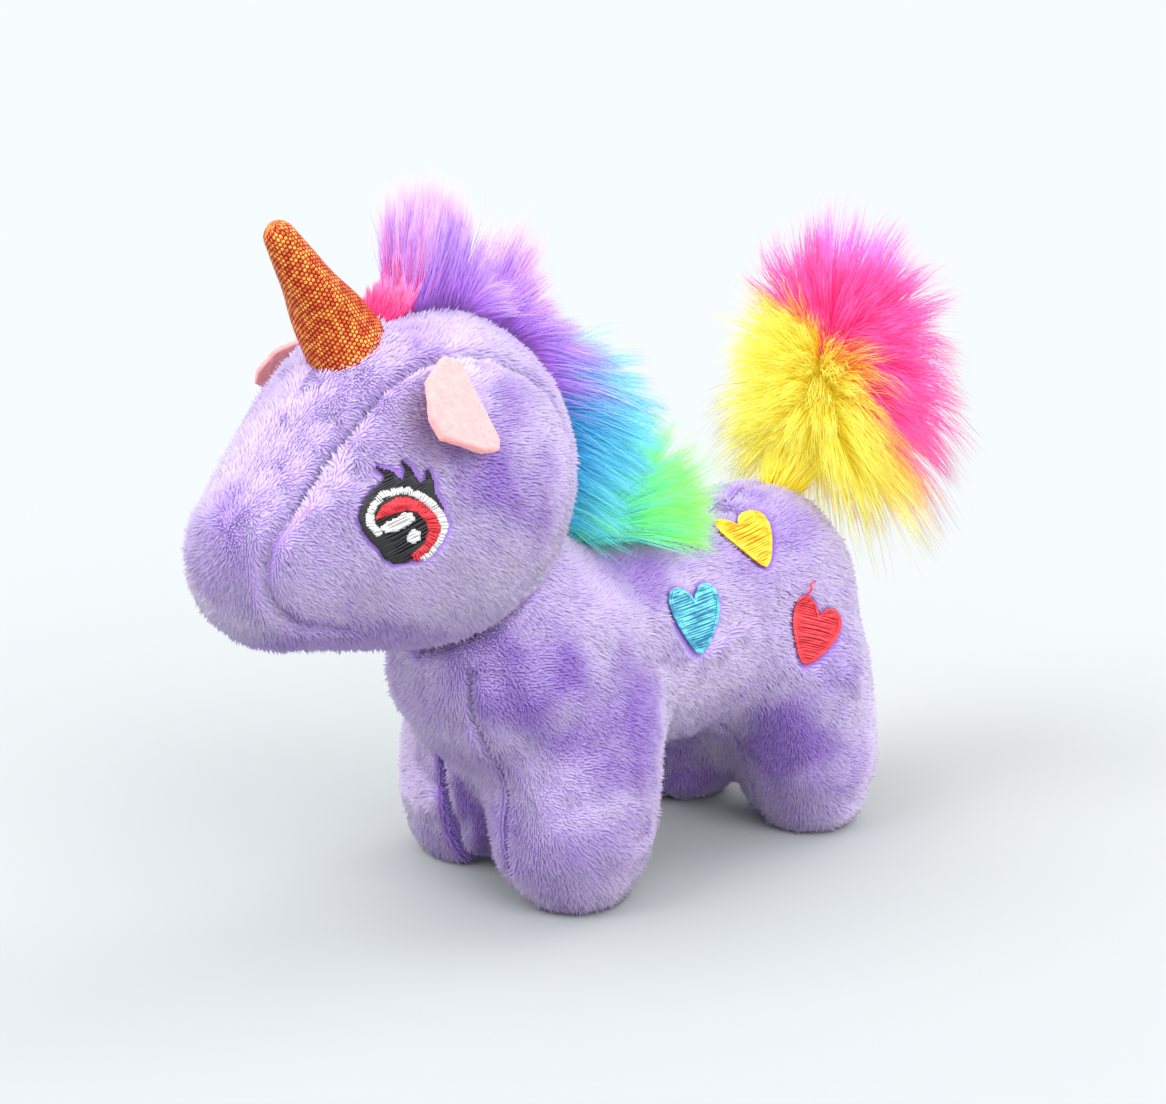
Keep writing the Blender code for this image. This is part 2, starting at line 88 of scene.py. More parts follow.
# The pattern's own places, in millimetres, are given with its neck axis here
PATTERN_NECK = Vector((0, -37, 53)) * MM
NECK = Vector(joint_place("head_nod"))
ORIGIN = NECK - PATTERN_NECK

# Seams: the belly panel's edges come from its box, the head's from its own slope
SEAM_GAP = 0.2 * MM
CHEST_REACH = 22 * MM
FLANK_SEAM_TOP = 30 * MM
PUCKER_STRETCH = (0.35, 1.0, 0.35)
PUCKER_SIZE = 2.6 * MM
PUCKER_REACH = 6.0 * MM
PUCKER_SEED = 70
BODY_PUCKER = 1.8 * MM
HEAD_PUCKER = 0.5 * MM
HEAD_SEAM_SLOPE = (0.16, -0.03)
HEAD_SEAM_AT = (12.2, -60, 92)
HEAD_SEAM_FADE = ((-72, -64), (50, 58))

# Ruffled pile, in its deeper colour: the amounts that clouds and patches add, and painted shade on insides
# and undersides
CLOUD_SIZE = 11 * MM
CLOUD_RUFFLE = 0.45
PATCH_WARP_SIZE = 6 * MM
PATCH_WARP = 0.9
PATCH_RUFFLE = 0.75
# painted shade: the deeper colour on the insides of the legs, below this height, and on undersides
INSIDE_SHADE_TOP = 34
INSIDE_PAINTED_SHADE = 0.9
UNDER_PAINTED_SHADE = 0.8
GRAIN_SIZE = 3.0 * MM
GRAIN_RUFFLE = 0.35

# Patches of pile rubbed the wrong way: centre, radius
RUFFLED = (
    ((21, -25, 33), 12),
    ((14, -36, 40), 9),
    ((22, -47, 74), 11),
    ((18, 13, 19), 9),
    ((13, -12, 54), 8),
    ((-20, -20, 34), 10),
    ((-22, -60, 66), 8),
    ((-19, 18, 40), 10),
)

# Embroidery; each thread runs from its dark colour to its light one, and its underlay takes the dark
# colour as painted shade between the threads; each heart is given by its centre, turn in degrees and
# breadth
THREAD_R = 0.2 * MM
THREAD_STREAK = (0.2, 0.2, 1.0)
THREADS = {
    "black": ((10, 9, 12), (34, 32, 38)),
    "white": ((190, 190, 190), (236, 236, 234)),
    "red": ((176, 12, 30), (240, 64, 76)),
    "blue": ((34, 124, 160), (122, 216, 226)),
    "yellow": ((214, 156, 6), (252, 224, 60)),
}
THREAD_PITCH = 0.4 * MM
THREAD_SINK = 0.12 * MM
THREAD_SLACK = 0.12 * MM
THREAD_CROWN = 0.1 * MM
THREAD_END_DIP = 0.25 * MM
STITCH_POINTS = 5
RAY_CROWDING = 0.85
GROUND_LIFT = 0.012
GROUND_REACH = 0.03
PAD_STEP = 0.3 * MM
PAD_HEIGHT = 0.75 * MM
PAD_THICKNESS = 0.5 * MM
HEART_W = 9.9 * MM
HEART_H = 11.0 * MM
HEARTS = {
    "blue": ((16.6, -3.3, 43.4), -2, 1.04),
    "yellow": ((10.2, 15.2, 52.8), 4, 1.05),
    "red": ((20.6, 19.9, 37.1), -27, 0.92),
}
HEART_HALF = (
    (0.0, 0.27), (0.08, 0.38), (0.18, 0.47), (0.28, 0.50), (0.40, 0.475), (0.48, 0.39), (0.5, 0.26),
    (0.47, 0.10), (0.40, -0.06), (0.30, -0.22), (0.19, -0.37), (0.09, -0.47), (0.0, -0.52),
)
HEART_ROW_DEG = 8
HEART_ROW_LIFT = 0.16 * MM
HEART_PAD_SHARE = 0.97
HEART_FILL_SHARE = 0.93
HEART_EDGES = ((0.97, 0.05 * MM), (0.9, 0.1 * MM))
HEART_EDGE_R = 1.1 * THREAD_R
LOOSE_END_ON = "red"
LOOSE_END = ((-3.2, 4.6, 0.2), (-3.4, 5.4, 0.9), (-3.1, 6.3, 1.4), (-3.5, 7.2, 1.3), (-3.0, 8.0, 1.5))

# Horn
HORN_BASE_R = 7.2 * MM
HORN_TIP_R = 2.2 * MM
HORN_ROOT = 3.0 * MM
HORN_TIP_SHIFT = Vector((0, -2.5, -0.6)) * MM
HORN_TIP_BAND = 1.5 * MM
HORN_FOOT_BAND = 5 * MM
HORN_INSET = 0.8 * MM
HORN_SEGMENTS = 48
HORN_RINGS = 40
HORN_TAPER = 0.92
HORN_ROUNDED = (0.93, 0.07, 0.55)
HORN_OVAL = 0.08
HORN_CRUSH = 0.05
HORN_RIDGE = 0.2 * MM
HORN_RIDGE_AT = 1.9
FOIL_PITCH = 0.62 * MM

# Ears: their size as a share of the frame's ears, and the roughness of the felt
EAR_SHARE = {"left": 0.96, "right": 0.72}
EAR_VOXEL = 0.36 * MM
EAR_SMOOTHING = 5
FELT_GRAIN = 0.6 * MM
FELT_FUZZ = 0.16 * MM

# Long pile
STRAND_TAPER = (0.8, 1.0, 0.8, 0.5, 0.0)
STRAND_RINGS = len(STRAND_TAPER) - 1
STRAND_BEND_RING = 3
STRAND_SPACING = 1.5
LOCK_BATCH = 2000
DYE_UNEVEN = 0.11
STRAND_W = 0.095 * MM
STRAND_T = 0.055 * MM
# painted light: the long pile glows in its own colours as though lit from within
PAINTED_FIBRE_GLOW = 0.2

# Stage and light; each light is given by its name, where it comes from and its strength
FLOOR_SIZE = 20
FLOOR_COLOUR = (0.372, 0.386, 0.388)
WORLD_COLOUR = (240, 243, 246)
WORLD_LIGHT = 1.7
LIGHT_SPREAD_DEG = 40
LIGHTS = (
    ("key", (-0.2, -0.6, 0.8), 1.9),
    ("side", (0.75, -0.1, 0.6), 1.6),
    ("back", (0.1, 0.7, 0.7), 1.0),
)

# Camera: what it aims at, in the pattern's millimetres, and where it stands round that
CAMERA_AIM = (-3.18, -10.68, 52)
CAMERA_AZIMUTH_DEG = 48
CAMERA_ELEVATION_DEG = 15.5
CAMERA_DISTANCE = 0.43
CAMERA_LENS = 80.3
CAMERA_NEAR = 0.01


# ---- mesh helpers


def mesh_of(bm, name="work"):
    """A bmesh turned into a mesh."""
    mesh = bpy.data.meshes.new(name)
    bm.to_mesh(mesh)
    bm.free()
    return mesh


def faced_out(bm):
    """A bmesh turned into a mesh whose faces point outwards."""
    bmesh.ops.recalc_face_normals(bm, faces=bm.faces[:])
    mesh = mesh_of(bm)
    mesh.shade_smooth()
    return mesh


def finished(obj):
    """The mesh of a working object with its modifiers or bevel applied; the object goes."""
    bpy.context.scene.collection.objects.link(obj)
    depsgraph = bpy.context.evaluated_depsgraph_get()
    mesh = bpy.data.meshes.new_from_object(obj.evaluated_get(depsgraph))
    bpy.data.objects.remove(obj, do_unlink=True)
    return mesh


def with_modifiers(mesh, *settings):
    """The mesh after modifiers, each given as (type, {property: value})."""
    obj = bpy.data.objects.new("work", mesh)
    for kind, values in settings:
        modifier = obj.modifiers.new(kind.title(), kind)
        for key, value in values.items():
            setattr(modifier, key, value)
    return finished(obj)


def frame_copy(*nodes):
    """The meshes of frame nodes as one, with their doubles merged."""
    bm = bmesh.new()
    for node in nodes:
        bm.from_mesh(frame["nodes"][node].data)
    bmesh.ops.remove_doubles(bm, verts=bm.verts[:], dist=1e-6)
    return mesh_of(bm)


def vectors_in(rows_of_mesh, key):
    """One vector of every row of a mesh's data, as an array."""
    vectors = np.empty(len(rows_of_mesh) * 3, np.float32)
    rows_of_mesh.foreach_get(key, vectors)
    return vectors.reshape(-1, 3).astype(float)


def points_of(mesh):
    return vectors_in(mesh.vertices, "co")


def normals_of(mesh):
    return vectors_in(mesh.vertex_normals, "vector")


def set_points(mesh, points):
    mesh.vertices.foreach_set("co", points.astype(np.float32).ravel())
    mesh.update()


def set_number(mesh, name, values):
    layer = mesh.attributes.new(name, "FLOAT", "POINT")
    layer.data.foreach_set("value", values.astype(np.float32))


def set_colour(mesh, name, colours):
    layer = mesh.color_attributes.new(name, "FLOAT_COLOR", "POINT")
    rgba = np.ones((len(colours), 4), np.float32)
    rgba[:, :3] = colours
    layer.data.foreach_set("color", rgba.ravel())


def ringed_cone(segments, tip_radius, rings):
    """A closed cone or tube of height 1 and foot radius 1, cut across into equal rings."""
    bm = bmesh.new()
    bmesh.ops.create_cone(
        bm,
        cap_ends=True,
        segments=segments,
        radius1=1,
        radius2=tip_radius,
        depth=1,
        matrix=Matrix.Translation((0, 0, 0.5)),
    )
    for ring in range(1, rings):
        bmesh.ops.bisect_plane(
            bm,
            geom=bm.verts[:] + bm.edges[:] + bm.faces[:],
            plane_co=(0, 0, ring / rings),
            plane_no=(0, 0, 1),
        )
    return bm


def tree_of(*meshes):
    """A search tree for the nearest place on some meshes."""
    bm = bmesh.new()
    for mesh in meshes:
        bm.from_mesh(mesh)
    tree = BVHTree.FromBMesh(bm)
    bm.free()
    return tree


def add_piece(name, mesh, material, body, replaced=()):
    """A finished piece that rides on a frame body, takes a finish slot and stands for nodes."""
    mesh.materials.clear()
    mesh.materials.append(material)
    mesh.name = name
    obj = bpy.data.objects.new(name, mesh)
    bpy.context.scene.collection.objects.link(obj)
    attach(obj, body)
    if replaced:
        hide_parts(*replaced)
    return obj


def smooth_step(values, low, high):
    """0 below low, 1 above high, and a smooth rise between."""
    t = np.clip((values - low) / (high - low), 0, 1)
    return t * t * (3 - 2 * t)


def soft_noise(points, size, seed):
    """Smooth noise from 0 to 1 at points, from a seeded lattice with cells of the given size."""
    count = 32
    lattice = np.random.default_rng(seed).random((count, count, count))
    cell = points / size + 1000.0
    low = np.floor(cell).astype(int)
    part = cell - low
    part = part * part * (3 - 2 * part)
    total = np.zeros(len(points))
    for corner in range(8):
        step = np.array([corner & 1, corner >> 1 & 1, corner >> 2 & 1])
        weight = np.prod(np.where(step == 1, part, 1 - part), axis=1)
        at = (low + step) % count
        total += weight * lattice[at[:, 0], at[:, 1], at[:, 2]]
    return total


def placed(x, y, z):
    """A place given in the pattern's millimetres, in the frame's metres."""
    return Vector((x, y, z)) * MM + ORIGIN


def in_pattern(points):
    """Places in the pattern's millimetres, from the frame's metres."""
    return (points - np.array(ORIGIN)) / MM


def unit(vectors):
    """Vectors brought to length 1."""
    return vectors / np.maximum(np.linalg.norm(vectors, axis=-1, keepdims=True), 1e-12)


# ---- materials


def linear(red, green, blue):
    """A screen colour from 0 to 255 as a light colour."""
    out = []
    for value in (red, green, blue):
        value /= 255
        out.append(value / 12.92 if value < 0.04045 else ((value + 0.055) / 1.055) ** 2.4)
    return tuple(out)


class Look:
    """A material's node tree with short calls for the nodes that the looks share."""

    def __init__(self, name, roughness, **values):
        self.material = bpy.data.materials.new(name)
        self.material.use_nodes = True
        self.tree = self.material.node_tree
        self.shader = self.tree.nodes["Principled BSDF"]
        self.shader.inputs["Roughness"].default_value = roughness
        for key, value in values.items():
            self.shader.inputs[key.replace("_", " ").title()].default_value = value
        self.place = self.node("ShaderNodeTexCoord").outputs["Object"]

    def node(self, kind, **values):
        node = self.tree.nodes.new(kind)
        for key, value in values.items():
            setattr(node, key, value)
        return node

    def fill(self, socket, value):
        if isinstance(value, bpy.types.NodeSocket):
            self.tree.links.new(value, socket)
        elif isinstance(value, tuple) and len(value) == 3 and socket.type == "RGBA":
            socket.default_value = (*value, 1)
        else:
            socket.default_value = value

    def maths(self, operation, *values):
        node = self.node("ShaderNodeMath", operation=operation)
        for socket, value in zip(node.inputs, values):
            self.fill(socket, value)
        return node.outputs[0]

    def mix(self, share, first, second):
        node = self.node("ShaderNodeMix", data_type="RGBA")
        self.fill(node.inputs[0], share)
        self.fill(node.inputs[6], first)
        self.fill(node.inputs[7], second)
        return node.outputs[2]

    def noise(self, size, detail=2.0, place=None):
        node = self.node("ShaderNodeTexNoise")
        self.fill(node.inputs["Vector"], place or self.place)
        node.inputs["Scale"].default_value = 1 / size
        node.inputs["Detail"].default_value = detail
        return node.outputs["Fac"]

    def ramp(self, value, low, high):
        node = self.node("ShaderNodeMapRange", clamp=True)
        self.fill(node.inputs["Value"], value)
        node.inputs["From Min"].default_value = low
        node.inputs["From Max"].default_value = high
        return node.outputs["Result"]

    def attribute(self, name, output="Fac"):
        return self.node("ShaderNodeAttribute", attribute_name=name).outputs[output]

    def bump(self, height, strength, distance):
        node = self.node("ShaderNodeBump")
        self.fill(node.inputs["Height"], height)
        node.inputs["Strength"].default_value = strength
        node.inputs["Distance"].default_value = distance
        self.tree.links.new(node.outputs["Normal"], self.shader.inputs["Normal"])

    def colour(self, socket):
        self.fill(self.shader.inputs["Base Color"], socket)
        return self.material


def plush_look():
    """Short brushed pile: deeper at the roots as painted shade down in the pile, pale at the tips, deeper
    where the pile is rubbed up, and deeper as painted shade underneath and inside the legs.
    """
    look = Look("plush", 0.9, sheen_weight=0.4, sheen_roughness=0.5)
    look.shader.inputs["Sheen Tint"].default_value = (0.95, 0.84, 1.0, 1)
    fine = look.ramp(look.noise(0.5 * MM, 3.0), 0.3, 0.7)
    brushed = look.mix(fine, linear(205, 184, 234), linear(228, 213, 244))
    rubbed = look.mix(fine, linear(156, 120, 206), linear(176, 144, 222))
    tips = look.mix(look.attribute("ruffle_and_shade"), brushed, rubbed)
    # painted shade down in the pile: the roots take deeper colours than the tips
    roots = look.mix(look.attribute("ruffle_and_shade"), linear(158, 122, 206), linear(108, 66, 170))
    return look.colour(look.mix(look.ramp(look.attribute("pile"), 0.0, 0.7), roots, tips))


def thread_look(name, dark, light):
    """Embroidery thread with a soft lustre, its rows a little uneven in colour, and its underlay dark as
    painted shade between the threads.
    """
    look = Look(name, 0.45)
    along = look.node("ShaderNodeVectorMath", operation="MULTIPLY")
    look.fill(along.inputs[0], look.place)
    along.inputs[1].default_value = THREAD_STREAK
    streaks = look.ramp(look.noise(0.55 * MM, 3.0, along.outputs[0]), 0.35, 0.65)
    look.bump(look.noise(0.15 * MM, 2.0), 0.4, 0.05 * MM)
    thread = look.mix(streaks, dark, light)
    # painted shade between the threads: the underlay, which is not raised, takes the dark colour
    return look.colour(look.mix(look.attribute("raised"), dark, thread))


def felt_look():
    look = Look("felt", 0.95, sheen_weight=0.25, sheen_roughness=0.5)
    broad = look.ramp(look.noise(2.2 * MM, 4.0), 0.35, 0.65)
    fine = look.ramp(look.noise(0.25 * MM, 3.0), 0.3, 0.7)
    base = look.mix(broad, linear(243, 162, 160), linear(247, 178, 172))
    look.bump(fine, 0.6, 0.12 * MM)
    return look.colour(look.mix(fine, linear(232, 143, 146), base))


def foil_look():
    """Woven cloth printed with a close net of foil dots, laid out on the horn's own flat pattern."""
    look = Look("foil_cloth", 0.4, metallic=0.6)
    parts = look.node("ShaderNodeSeparateXYZ")
    look.fill(parts.inputs[0], look.node("ShaderNodeUVMap", uv_map="wrap").outputs[0])
    across, along = parts.outputs[0], parts.outputs[1]
    row = look.maths("FLOOR", along)
    shifted = look.maths("ADD", across, look.maths("MULTIPLY", look.maths("MODULO", row, 2.0), 0.5))
    u = look.maths("SUBTRACT", look.maths("FRACT", shifted), 0.5)
    v = look.maths("SUBTRACT", look.maths("FRACT", along), 0.5)
    reach = look.maths("SQRT", look.maths("ADD", look.maths("POWER", u, 2.0), look.maths("POWER", v, 2.0)))
    dot = look.maths("SUBTRACT", 1.0, look.ramp(reach, 0.26, 0.44))
    # painted glints: broad noise patches where the foil and the cloth are lighter
    glint = look.ramp(look.noise(1.1 * MM, 3.0), 0.44, 0.6)
    foil = look.mix(glint, linear(232, 96, 30), linear(250, 186, 84))
    cloth = look.mix(glint, linear(120, 26, 12), linear(172, 60, 18))
    look.bump(dot, 0.5, 0.12 * MM)
    look.fill(look.shader.inputs["Roughness"], look.ramp(dot, 3.0, -1.2))
    return look.colour(look.mix(dot, cloth, foil))


def fur_look():
    """Long acrylic pile that takes its colours from the strands, their dyes with painted shade near the
    roots, and glows in them as painted light.
    """
    look = Look("long_pile", 0.6, emission_strength=PAINTED_FIBRE_GLOW)
    dye_and_root_shade = look.attribute("dye_and_root_shade", "Color")
    # painted light: the strands glow in their own colours
    look.fill(look.shader.inputs["Emission Color"], dye_and_root_shade)
    return look.colour(dye_and_root_shade)


def stuffing_look():
    look = Look("stuffing", 0.95)
    fine = look.noise(0.8 * MM, 4.0)
    look.bump(fine, 0.8, 0.3 * MM)
    return look.colour(look.mix(fine, linear(214, 214, 208), linear(242, 242, 238)))


# ---- plush skins


def skin_base(stuffing):
    """A smooth closed skin a little outside a stuffed form, its feet pressed flat."""
    mesh = with_modifiers(
        frame_copy(stuffing),
        ("DISPLACE", {"strength": SKIN_OVER_STUFFING, "mid_level": 0.0}),
        ("REMESH", {"mode": "VOXEL", "voxel_size": SKIN_VOXEL}),
        ("SMOOTH", {"factor": SMOOTH_FACTOR, "iterations": SKIN_SMOOTHING}),
        ("SUBSURF", {"levels": 1, "render_levels": 1}),
    )
    points, normals = points_of(mesh), normals_of(mesh)
    near_floor = 1 - smooth_step(points[:, 2], FOOT_DROP, FOOT_CORNER)
    points[:, :2] += FOOT_SPREAD * near_floor[:, None] * normals[:, :2]
    points[:, 2] -= FOOT_DROP * near_floor
    points[:, 2] = np.maximum(points[:, 2], 2 * FLOOR_CLEARANCE)
    set_points(mesh, points)
    return mesh


def panel_distance(points, side):
    """Distance from the seam between the head's centre panel and one side panel."""
    normal = np.array([side, -HEAD_SEAM_SLOPE[0], -HEAD_SEAM_SLOPE[1]])
    x, y, z = HEAD_SEAM_AT
    return np.abs((points - np.array(placed(side * x, y, z))) @ unit(normal))


def head_seams(points):
    """Distance from the nearer seam of the centre panel, which shows less under the jaw."""
    near = np.minimum(panel_distance(points, 1), panel_distance(points, -1))
    local = in_pattern(points)
    behind = smooth_step(local[:, 1], *HEAD_SEAM_FADE[0])
    low = 1 - smooth_step(local[:, 2], *HEAD_SEAM_FADE[1])
    return near + 3 * SEAM_WIDTH * behind * low


def body_seams(points):
    """Distance from the belly panel's two edges, or from the seam along the back."""
    low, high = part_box("belly_panel")
    edge = high[0] + SEAM_GAP
    chest = low[1] + CHEST_REACH
    beside = np.abs(np.abs(points[:, 0]) - edge)
    back = np.abs(points[:, 0])
    under = (points[:, 2] < FLANK_SEAM_TOP) | ((points[:, 1] < chest) & (points[:, 2] < high[2]))
    return np.where(under, beside, back)


def sewn_in(mesh, distance, pucker):
    """Pulls a skin in along its seams, with puckers beside them."""
    points, normals = points_of(mesh), normals_of(mesh)
    away = distance(points)
    pull = SEAM_DEPTH * np.exp(-((away / SEAM_WIDTH) ** 2))
    folds = soft_noise(points * PUCKER_STRETCH, PUCKER_SIZE, PUCKER_SEED) - 0.5
    pull += pucker * folds * np.exp(-((away / PUCKER_REACH) ** 2))
    set_points(mesh, points - normals * pull[:, None])


def nap(points, normals, rearwards):
    """The way the pile lies: brushed back and down, and turned about where it is rumpled."""
    brushed = np.tile(np.array([0.0, rearwards, NAP_DROP]), (len(points), 1))
    for axis in range(3):
        for size, amount, seed in NAP_TURNS:
            brushed[:, axis] += amount * (soft_noise(points, size, seed + axis) - 0.5)
    brushed -= normals * np.sum(brushed * normals, axis=1)[:, None]
    return unit(brushed)


def ruffle_and_painted_shade(points, normals, seed):
    """How far the pile is rubbed up and so deeper in colour, in patches, with painted shade added
    underneath and inside the legs.
    """
    amount = CLOUD_RUFFLE * smooth_step(soft_noise(points, CLOUD_SIZE, seed + 1), 0.45, 0.75)
    local = in_pattern(points)
    warp = PATCH_WARP * (soft_noise(points, PATCH_WARP_SIZE, seed + 4) - 0.5)
    for centre, radius in RUFFLED:
        reach = np.linalg.norm(local - np.array(centre), axis=1) / radius + warp
        amount += PATCH_RUFFLE * (1 - smooth_step(reach, 0.3, 1.3))
    # painted shade on the insides of the legs and on undersides, in the deeper colour of rubbed-up pile
    inwards = -normals[:, 0] * np.sign(local[:, 0])
    amount += INSIDE_PAINTED_SHADE * smooth_step(inwards, 0.15, 0.8) * (local[:, 2] < INSIDE_SHADE_TOP)
    amount += UNDER_PAINTED_SHADE * smooth_step(-normals[:, 2], 0.45, 0.95)
    amount += GRAIN_RUFFLE * (soft_noise(points, GRAIN_SIZE, seed + 2) - 0.5)
    return np.clip(amount, 0, 1)


def tuft_lengths(roots, stitched, distance, chance, seed):
    """Each tuft's share of the full pile: uneven, shorter at seams and none under embroidery."""
    length = 0.8 + 0.4 * chance.random(len(roots))
    length *= 0.75 + 0.5 * soft_noise(roots, TUFT_CLUMP, seed + 3)
    length *= 1 - SEAM_TRIM * np.exp(-((distance(roots) / (0.8 * SEAM_WIDTH)) ** 2))
    gap = np.array([stitched.find_nearest(root)[3] or 1.0 for root in roots])
    length *= smooth_step(gap, *STITCH_CLEAR)
    return length


def with_pile(mesh, stitched, distance, rearwards, seed):
    """Raises a tuft from every face of a skin, leaning with the nap."""
    first_tip = len(mesh.vertices)
    bm = bmesh.new()
    bm.from_mesh(mesh)
    bmesh.ops.poke(bm, faces=bm.faces[:])
    piled = mesh_of(bm)
    points, normals = points_of(piled), normals_of(piled)
    tips = slice(first_tip, None)
    roots, out = points[tips], normals[tips]
    chance = np.random.default_rng(seed)
    ruffle_and_shade = ruffle_and_painted_shade(points, normals, seed)
    length = tuft_lengths(roots, stitched, distance, chance, seed)
    lie = nap(roots, out, rearwards)
    jitter = chance.normal(size=roots.shape) * PILE_JITTER
    rise = PILE_HEIGHT * (0.75 + 0.35 * ruffle_and_shade[tips])
    lean = PILE_LEAN * (1.15 - 0.6 * ruffle_and_shade[tips])
    moved = out * (rise * length)[:, None] + (lie * lean[:, None] + jitter) * length[:, None]
    points[tips] = roots + moved
    points[:, 2] = np.maximum(points[:, 2], FLOOR_CLEARANCE)
    set_points(piled, points)
    pile = np.zeros(len(points))
    pile[tips] = np.clip(length, 0, 1)
    set_number(piled, "pile", pile)
    # this amount holds both the rubbed-up pile and the painted shade underneath and inside the legs
    set_number(piled, "ruffle_and_shade", ruffle_and_shade)
    piled.shade_smooth()
    return piled


# ---- embroidery


class Ground:
    """A patch of skin to stitch on: flat (u, v) places it, with u to the right and v up."""

    def __init__(self, tree, centre, turn, side):
        self.tree = tree
        near, facing, _, _ = tree.find_nearest(Vector(centre))
        self.facing = facing.normalized()
        self.across = Vector((0, 0, 1)).cross(self.facing).normalized()
        self.up = self.facing.cross(self.across)
        self.centre = near
        self.turn = math.radians(turn)
        self.side = side

    def at(self, u, v, height):
        """The point over (u, v), that high above the skin."""
        cos, sin = math.cos(self.turn), math.sin(self.turn)
        u, v = u * cos - v * sin, u * sin + v * cos
        flat = self.centre + self.across * u * self.side + self.up * v
        above = flat + self.facing * GROUND_LIFT
        hit, normal, _, _ = self.tree.ray_cast(above, -self.facing, GROUND_REACH)
        if hit is None:
            hit, normal, _, _ = self.tree.find_nearest(flat)
        return hit + (normal + self.facing).normalized() * height


def crossings(outline, start, way):
    """Where a line from start crosses a closed outline, as sorted distances along way."""
    found = []
    for (u1, v1), (u2, v2) in zip(outline, outline[1:] + outline[:1]):
        du, dv = u2 - u1, v2 - v1
        across = way[0] * dv - way[1] * du
        if abs(across) < 1e-15:
            continue
        along = ((u1 - start[0]) * dv - (v1 - start[1]) * du) / across
        share = ((u1 - start[0]) * way[1] - (v1 - start[1]) * way[0]) / across
        if 0 <= share < 1:
            found.append(along)
    return sorted(found)


def rows(outline, pitch, degrees):
    """Straight stitches that fill an outline, as pairs of ends."""
    way = (math.cos(math.radians(degrees)), math.sin(math.radians(degrees)))
    over = (-way[1], way[0])
    levels = [u * over[0] + v * over[1] for u, v in outline]
    count = int((max(levels) - min(levels)) / pitch)
    runs = []
    for row in range(count + 1):
        level = min(levels) + (row + 0.5) * pitch
        start = (over[0] * level, over[1] * level)
        hits = crossings(outline, start, way)
        for a, b in zip(hits[::2], hits[1::2]):
            runs.append([(start[0] + way[0] * s, start[1] + way[1] * s) for s in (a, b)])
    return runs


def rays(outline, pitch):
    """Stitches that fill an outline along rays from its middle."""
    reach = max(math.hypot(u, v) for u, v in outline)
    count = int(2 * math.pi * reach * RAY_CROWDING / pitch)
    runs = []
    for step in range(count):
        angle = 2 * math.pi * step / count
        way = (math.cos(angle), math.sin(angle))
        hits = [s for s in crossings(outline, (0, 0), way) if s > 0]
        if len(hits) % 2:
            hits = [0.0, *hits]
        for a, b in zip(hits[::2], hits[1::2]):
            runs.append([(way[0] * s, way[1] * s) for s in (a, b)])
    return runs


def sewn(ground, runs, height, seed):
    """Stitches as lines in space: each rises over its middle, and some lie a little deeper."""
    chance = np.random.default_rng(seed)
    lines = []
    for (u1, v1), (u2, v2) in runs:
        deep = THREAD_SINK * chance.random()
        slack = THREAD_SLACK * chance.normal()
        line = []
        for step in range(STITCH_POINTS):
            t = step / (STITCH_POINTS - 1)
            arch = math.sin(math.pi * t)
            rise = height + THREAD_CROWN * arch - THREAD_END_DIP * (2 * t - 1) ** 6 - deep
            line.append(ground.at(u1 + (u2 - u1) * t, v1 + (v2 - v1) * t + slack * arch, rise))
        lines.append(line)
    return lines


def border(ground, outline, height):
    """A line that follows an outline all the way round."""
    line = [ground.at(u, v, height) for u, v in outline]
    return line + line[:1]


def thread_mesh(lines, radius):
    """Round threads along lines, with closed ends."""
    curve = bpy.data.curves.new("threads", "CURVE")
    curve.dimensions = "3D"
    curve.bevel_depth = radius
    curve.bevel_resolution = 0
    curve.use_fill_caps = True
    for line in lines:
        spline = curve.splines.new("POLY")
        spline.points.add(len(line) - 1)
        for point, place in zip(spline.points, line):
            point.co = (*place, 1)
    bm = bmesh.new()
    bm.from_mesh(finished(bpy.data.objects.new("threads", curve)))
    return faced_out(bm)


def inside(outline, u, v):
    """Whether a flat place lies within an outline."""
    return len([s for s in crossings(outline, (u, v), (1.0, 0.0)) if s > 0]) % 2 == 1


def pad_mesh(ground, outline, height):
    """The close underlay of an embroidered field, draped on the skin."""
    us, vs = [u for u, _ in outline], [v for _, v in outline]
    across, up = max(us) - min(us), max(vs) - min(vs)
    middle = ((max(us) + min(us)) / 2, (max(vs) + min(vs)) / 2)
    bm = bmesh.new()
    bmesh.ops.create_grid(bm, x_segments=int(across / PAD_STEP), y_segments=int(up / PAD_STEP), size=0.5)
    bmesh.ops.scale(bm, vec=(across, up, 1), verts=bm.verts[:])
    bmesh.ops.translate(bm, vec=(*middle, 0), verts=bm.verts[:])
    outer = [f for f in bm.faces if not inside(outline, *f.calc_center_median().xy)]
    bmesh.ops.delete(bm, geom=outer, context="FACES")
    loose = [v for v in bm.verts if not v.link_faces]
    bmesh.ops.delete(bm, geom=loose, context="VERTS")
    for vert in bm.verts:
        vert.co = ground.at(vert.co.x, vert.co.y, height)
    bmesh.ops.recalc_face_normals(bm, faces=bm.faces[:])
    if bm.faces[0].normal.dot(ground.facing) < 0:
        bmesh.ops.reverse_faces(bm, faces=bm.faces[:])
    return with_modifiers(mesh_of(bm), ("SOLIDIFY", {"thickness": PAD_THICKNESS, "offset": -1.0}))


def joined(*meshes):
    """Several meshes as one."""
    bm = bmesh.new()
    for mesh in meshes:
        bm.from_mesh(mesh)
    return mesh_of(bm)


def stitching(pads, threads):
    """Underlay and threads as one mesh, with the threads marked as raised."""
    mesh = joined(*pads, *threads)
    raised = np.ones(len(mesh.vertices))
    raised[: sum(len(pad.vertices) for pad in pads)] = 0.0
    set_number(mesh, "raised", raised)
    mesh.shade_smooth()
    return mesh


def heart_outline(width, height):
    """A broad heart, from its half outline given as shares of width and height."""
    right = [(u * width, v * height) for u, v in HEART_HALF]
    left = [(-u, v) for u, v in reversed(right[1:-1])]
    return right + left


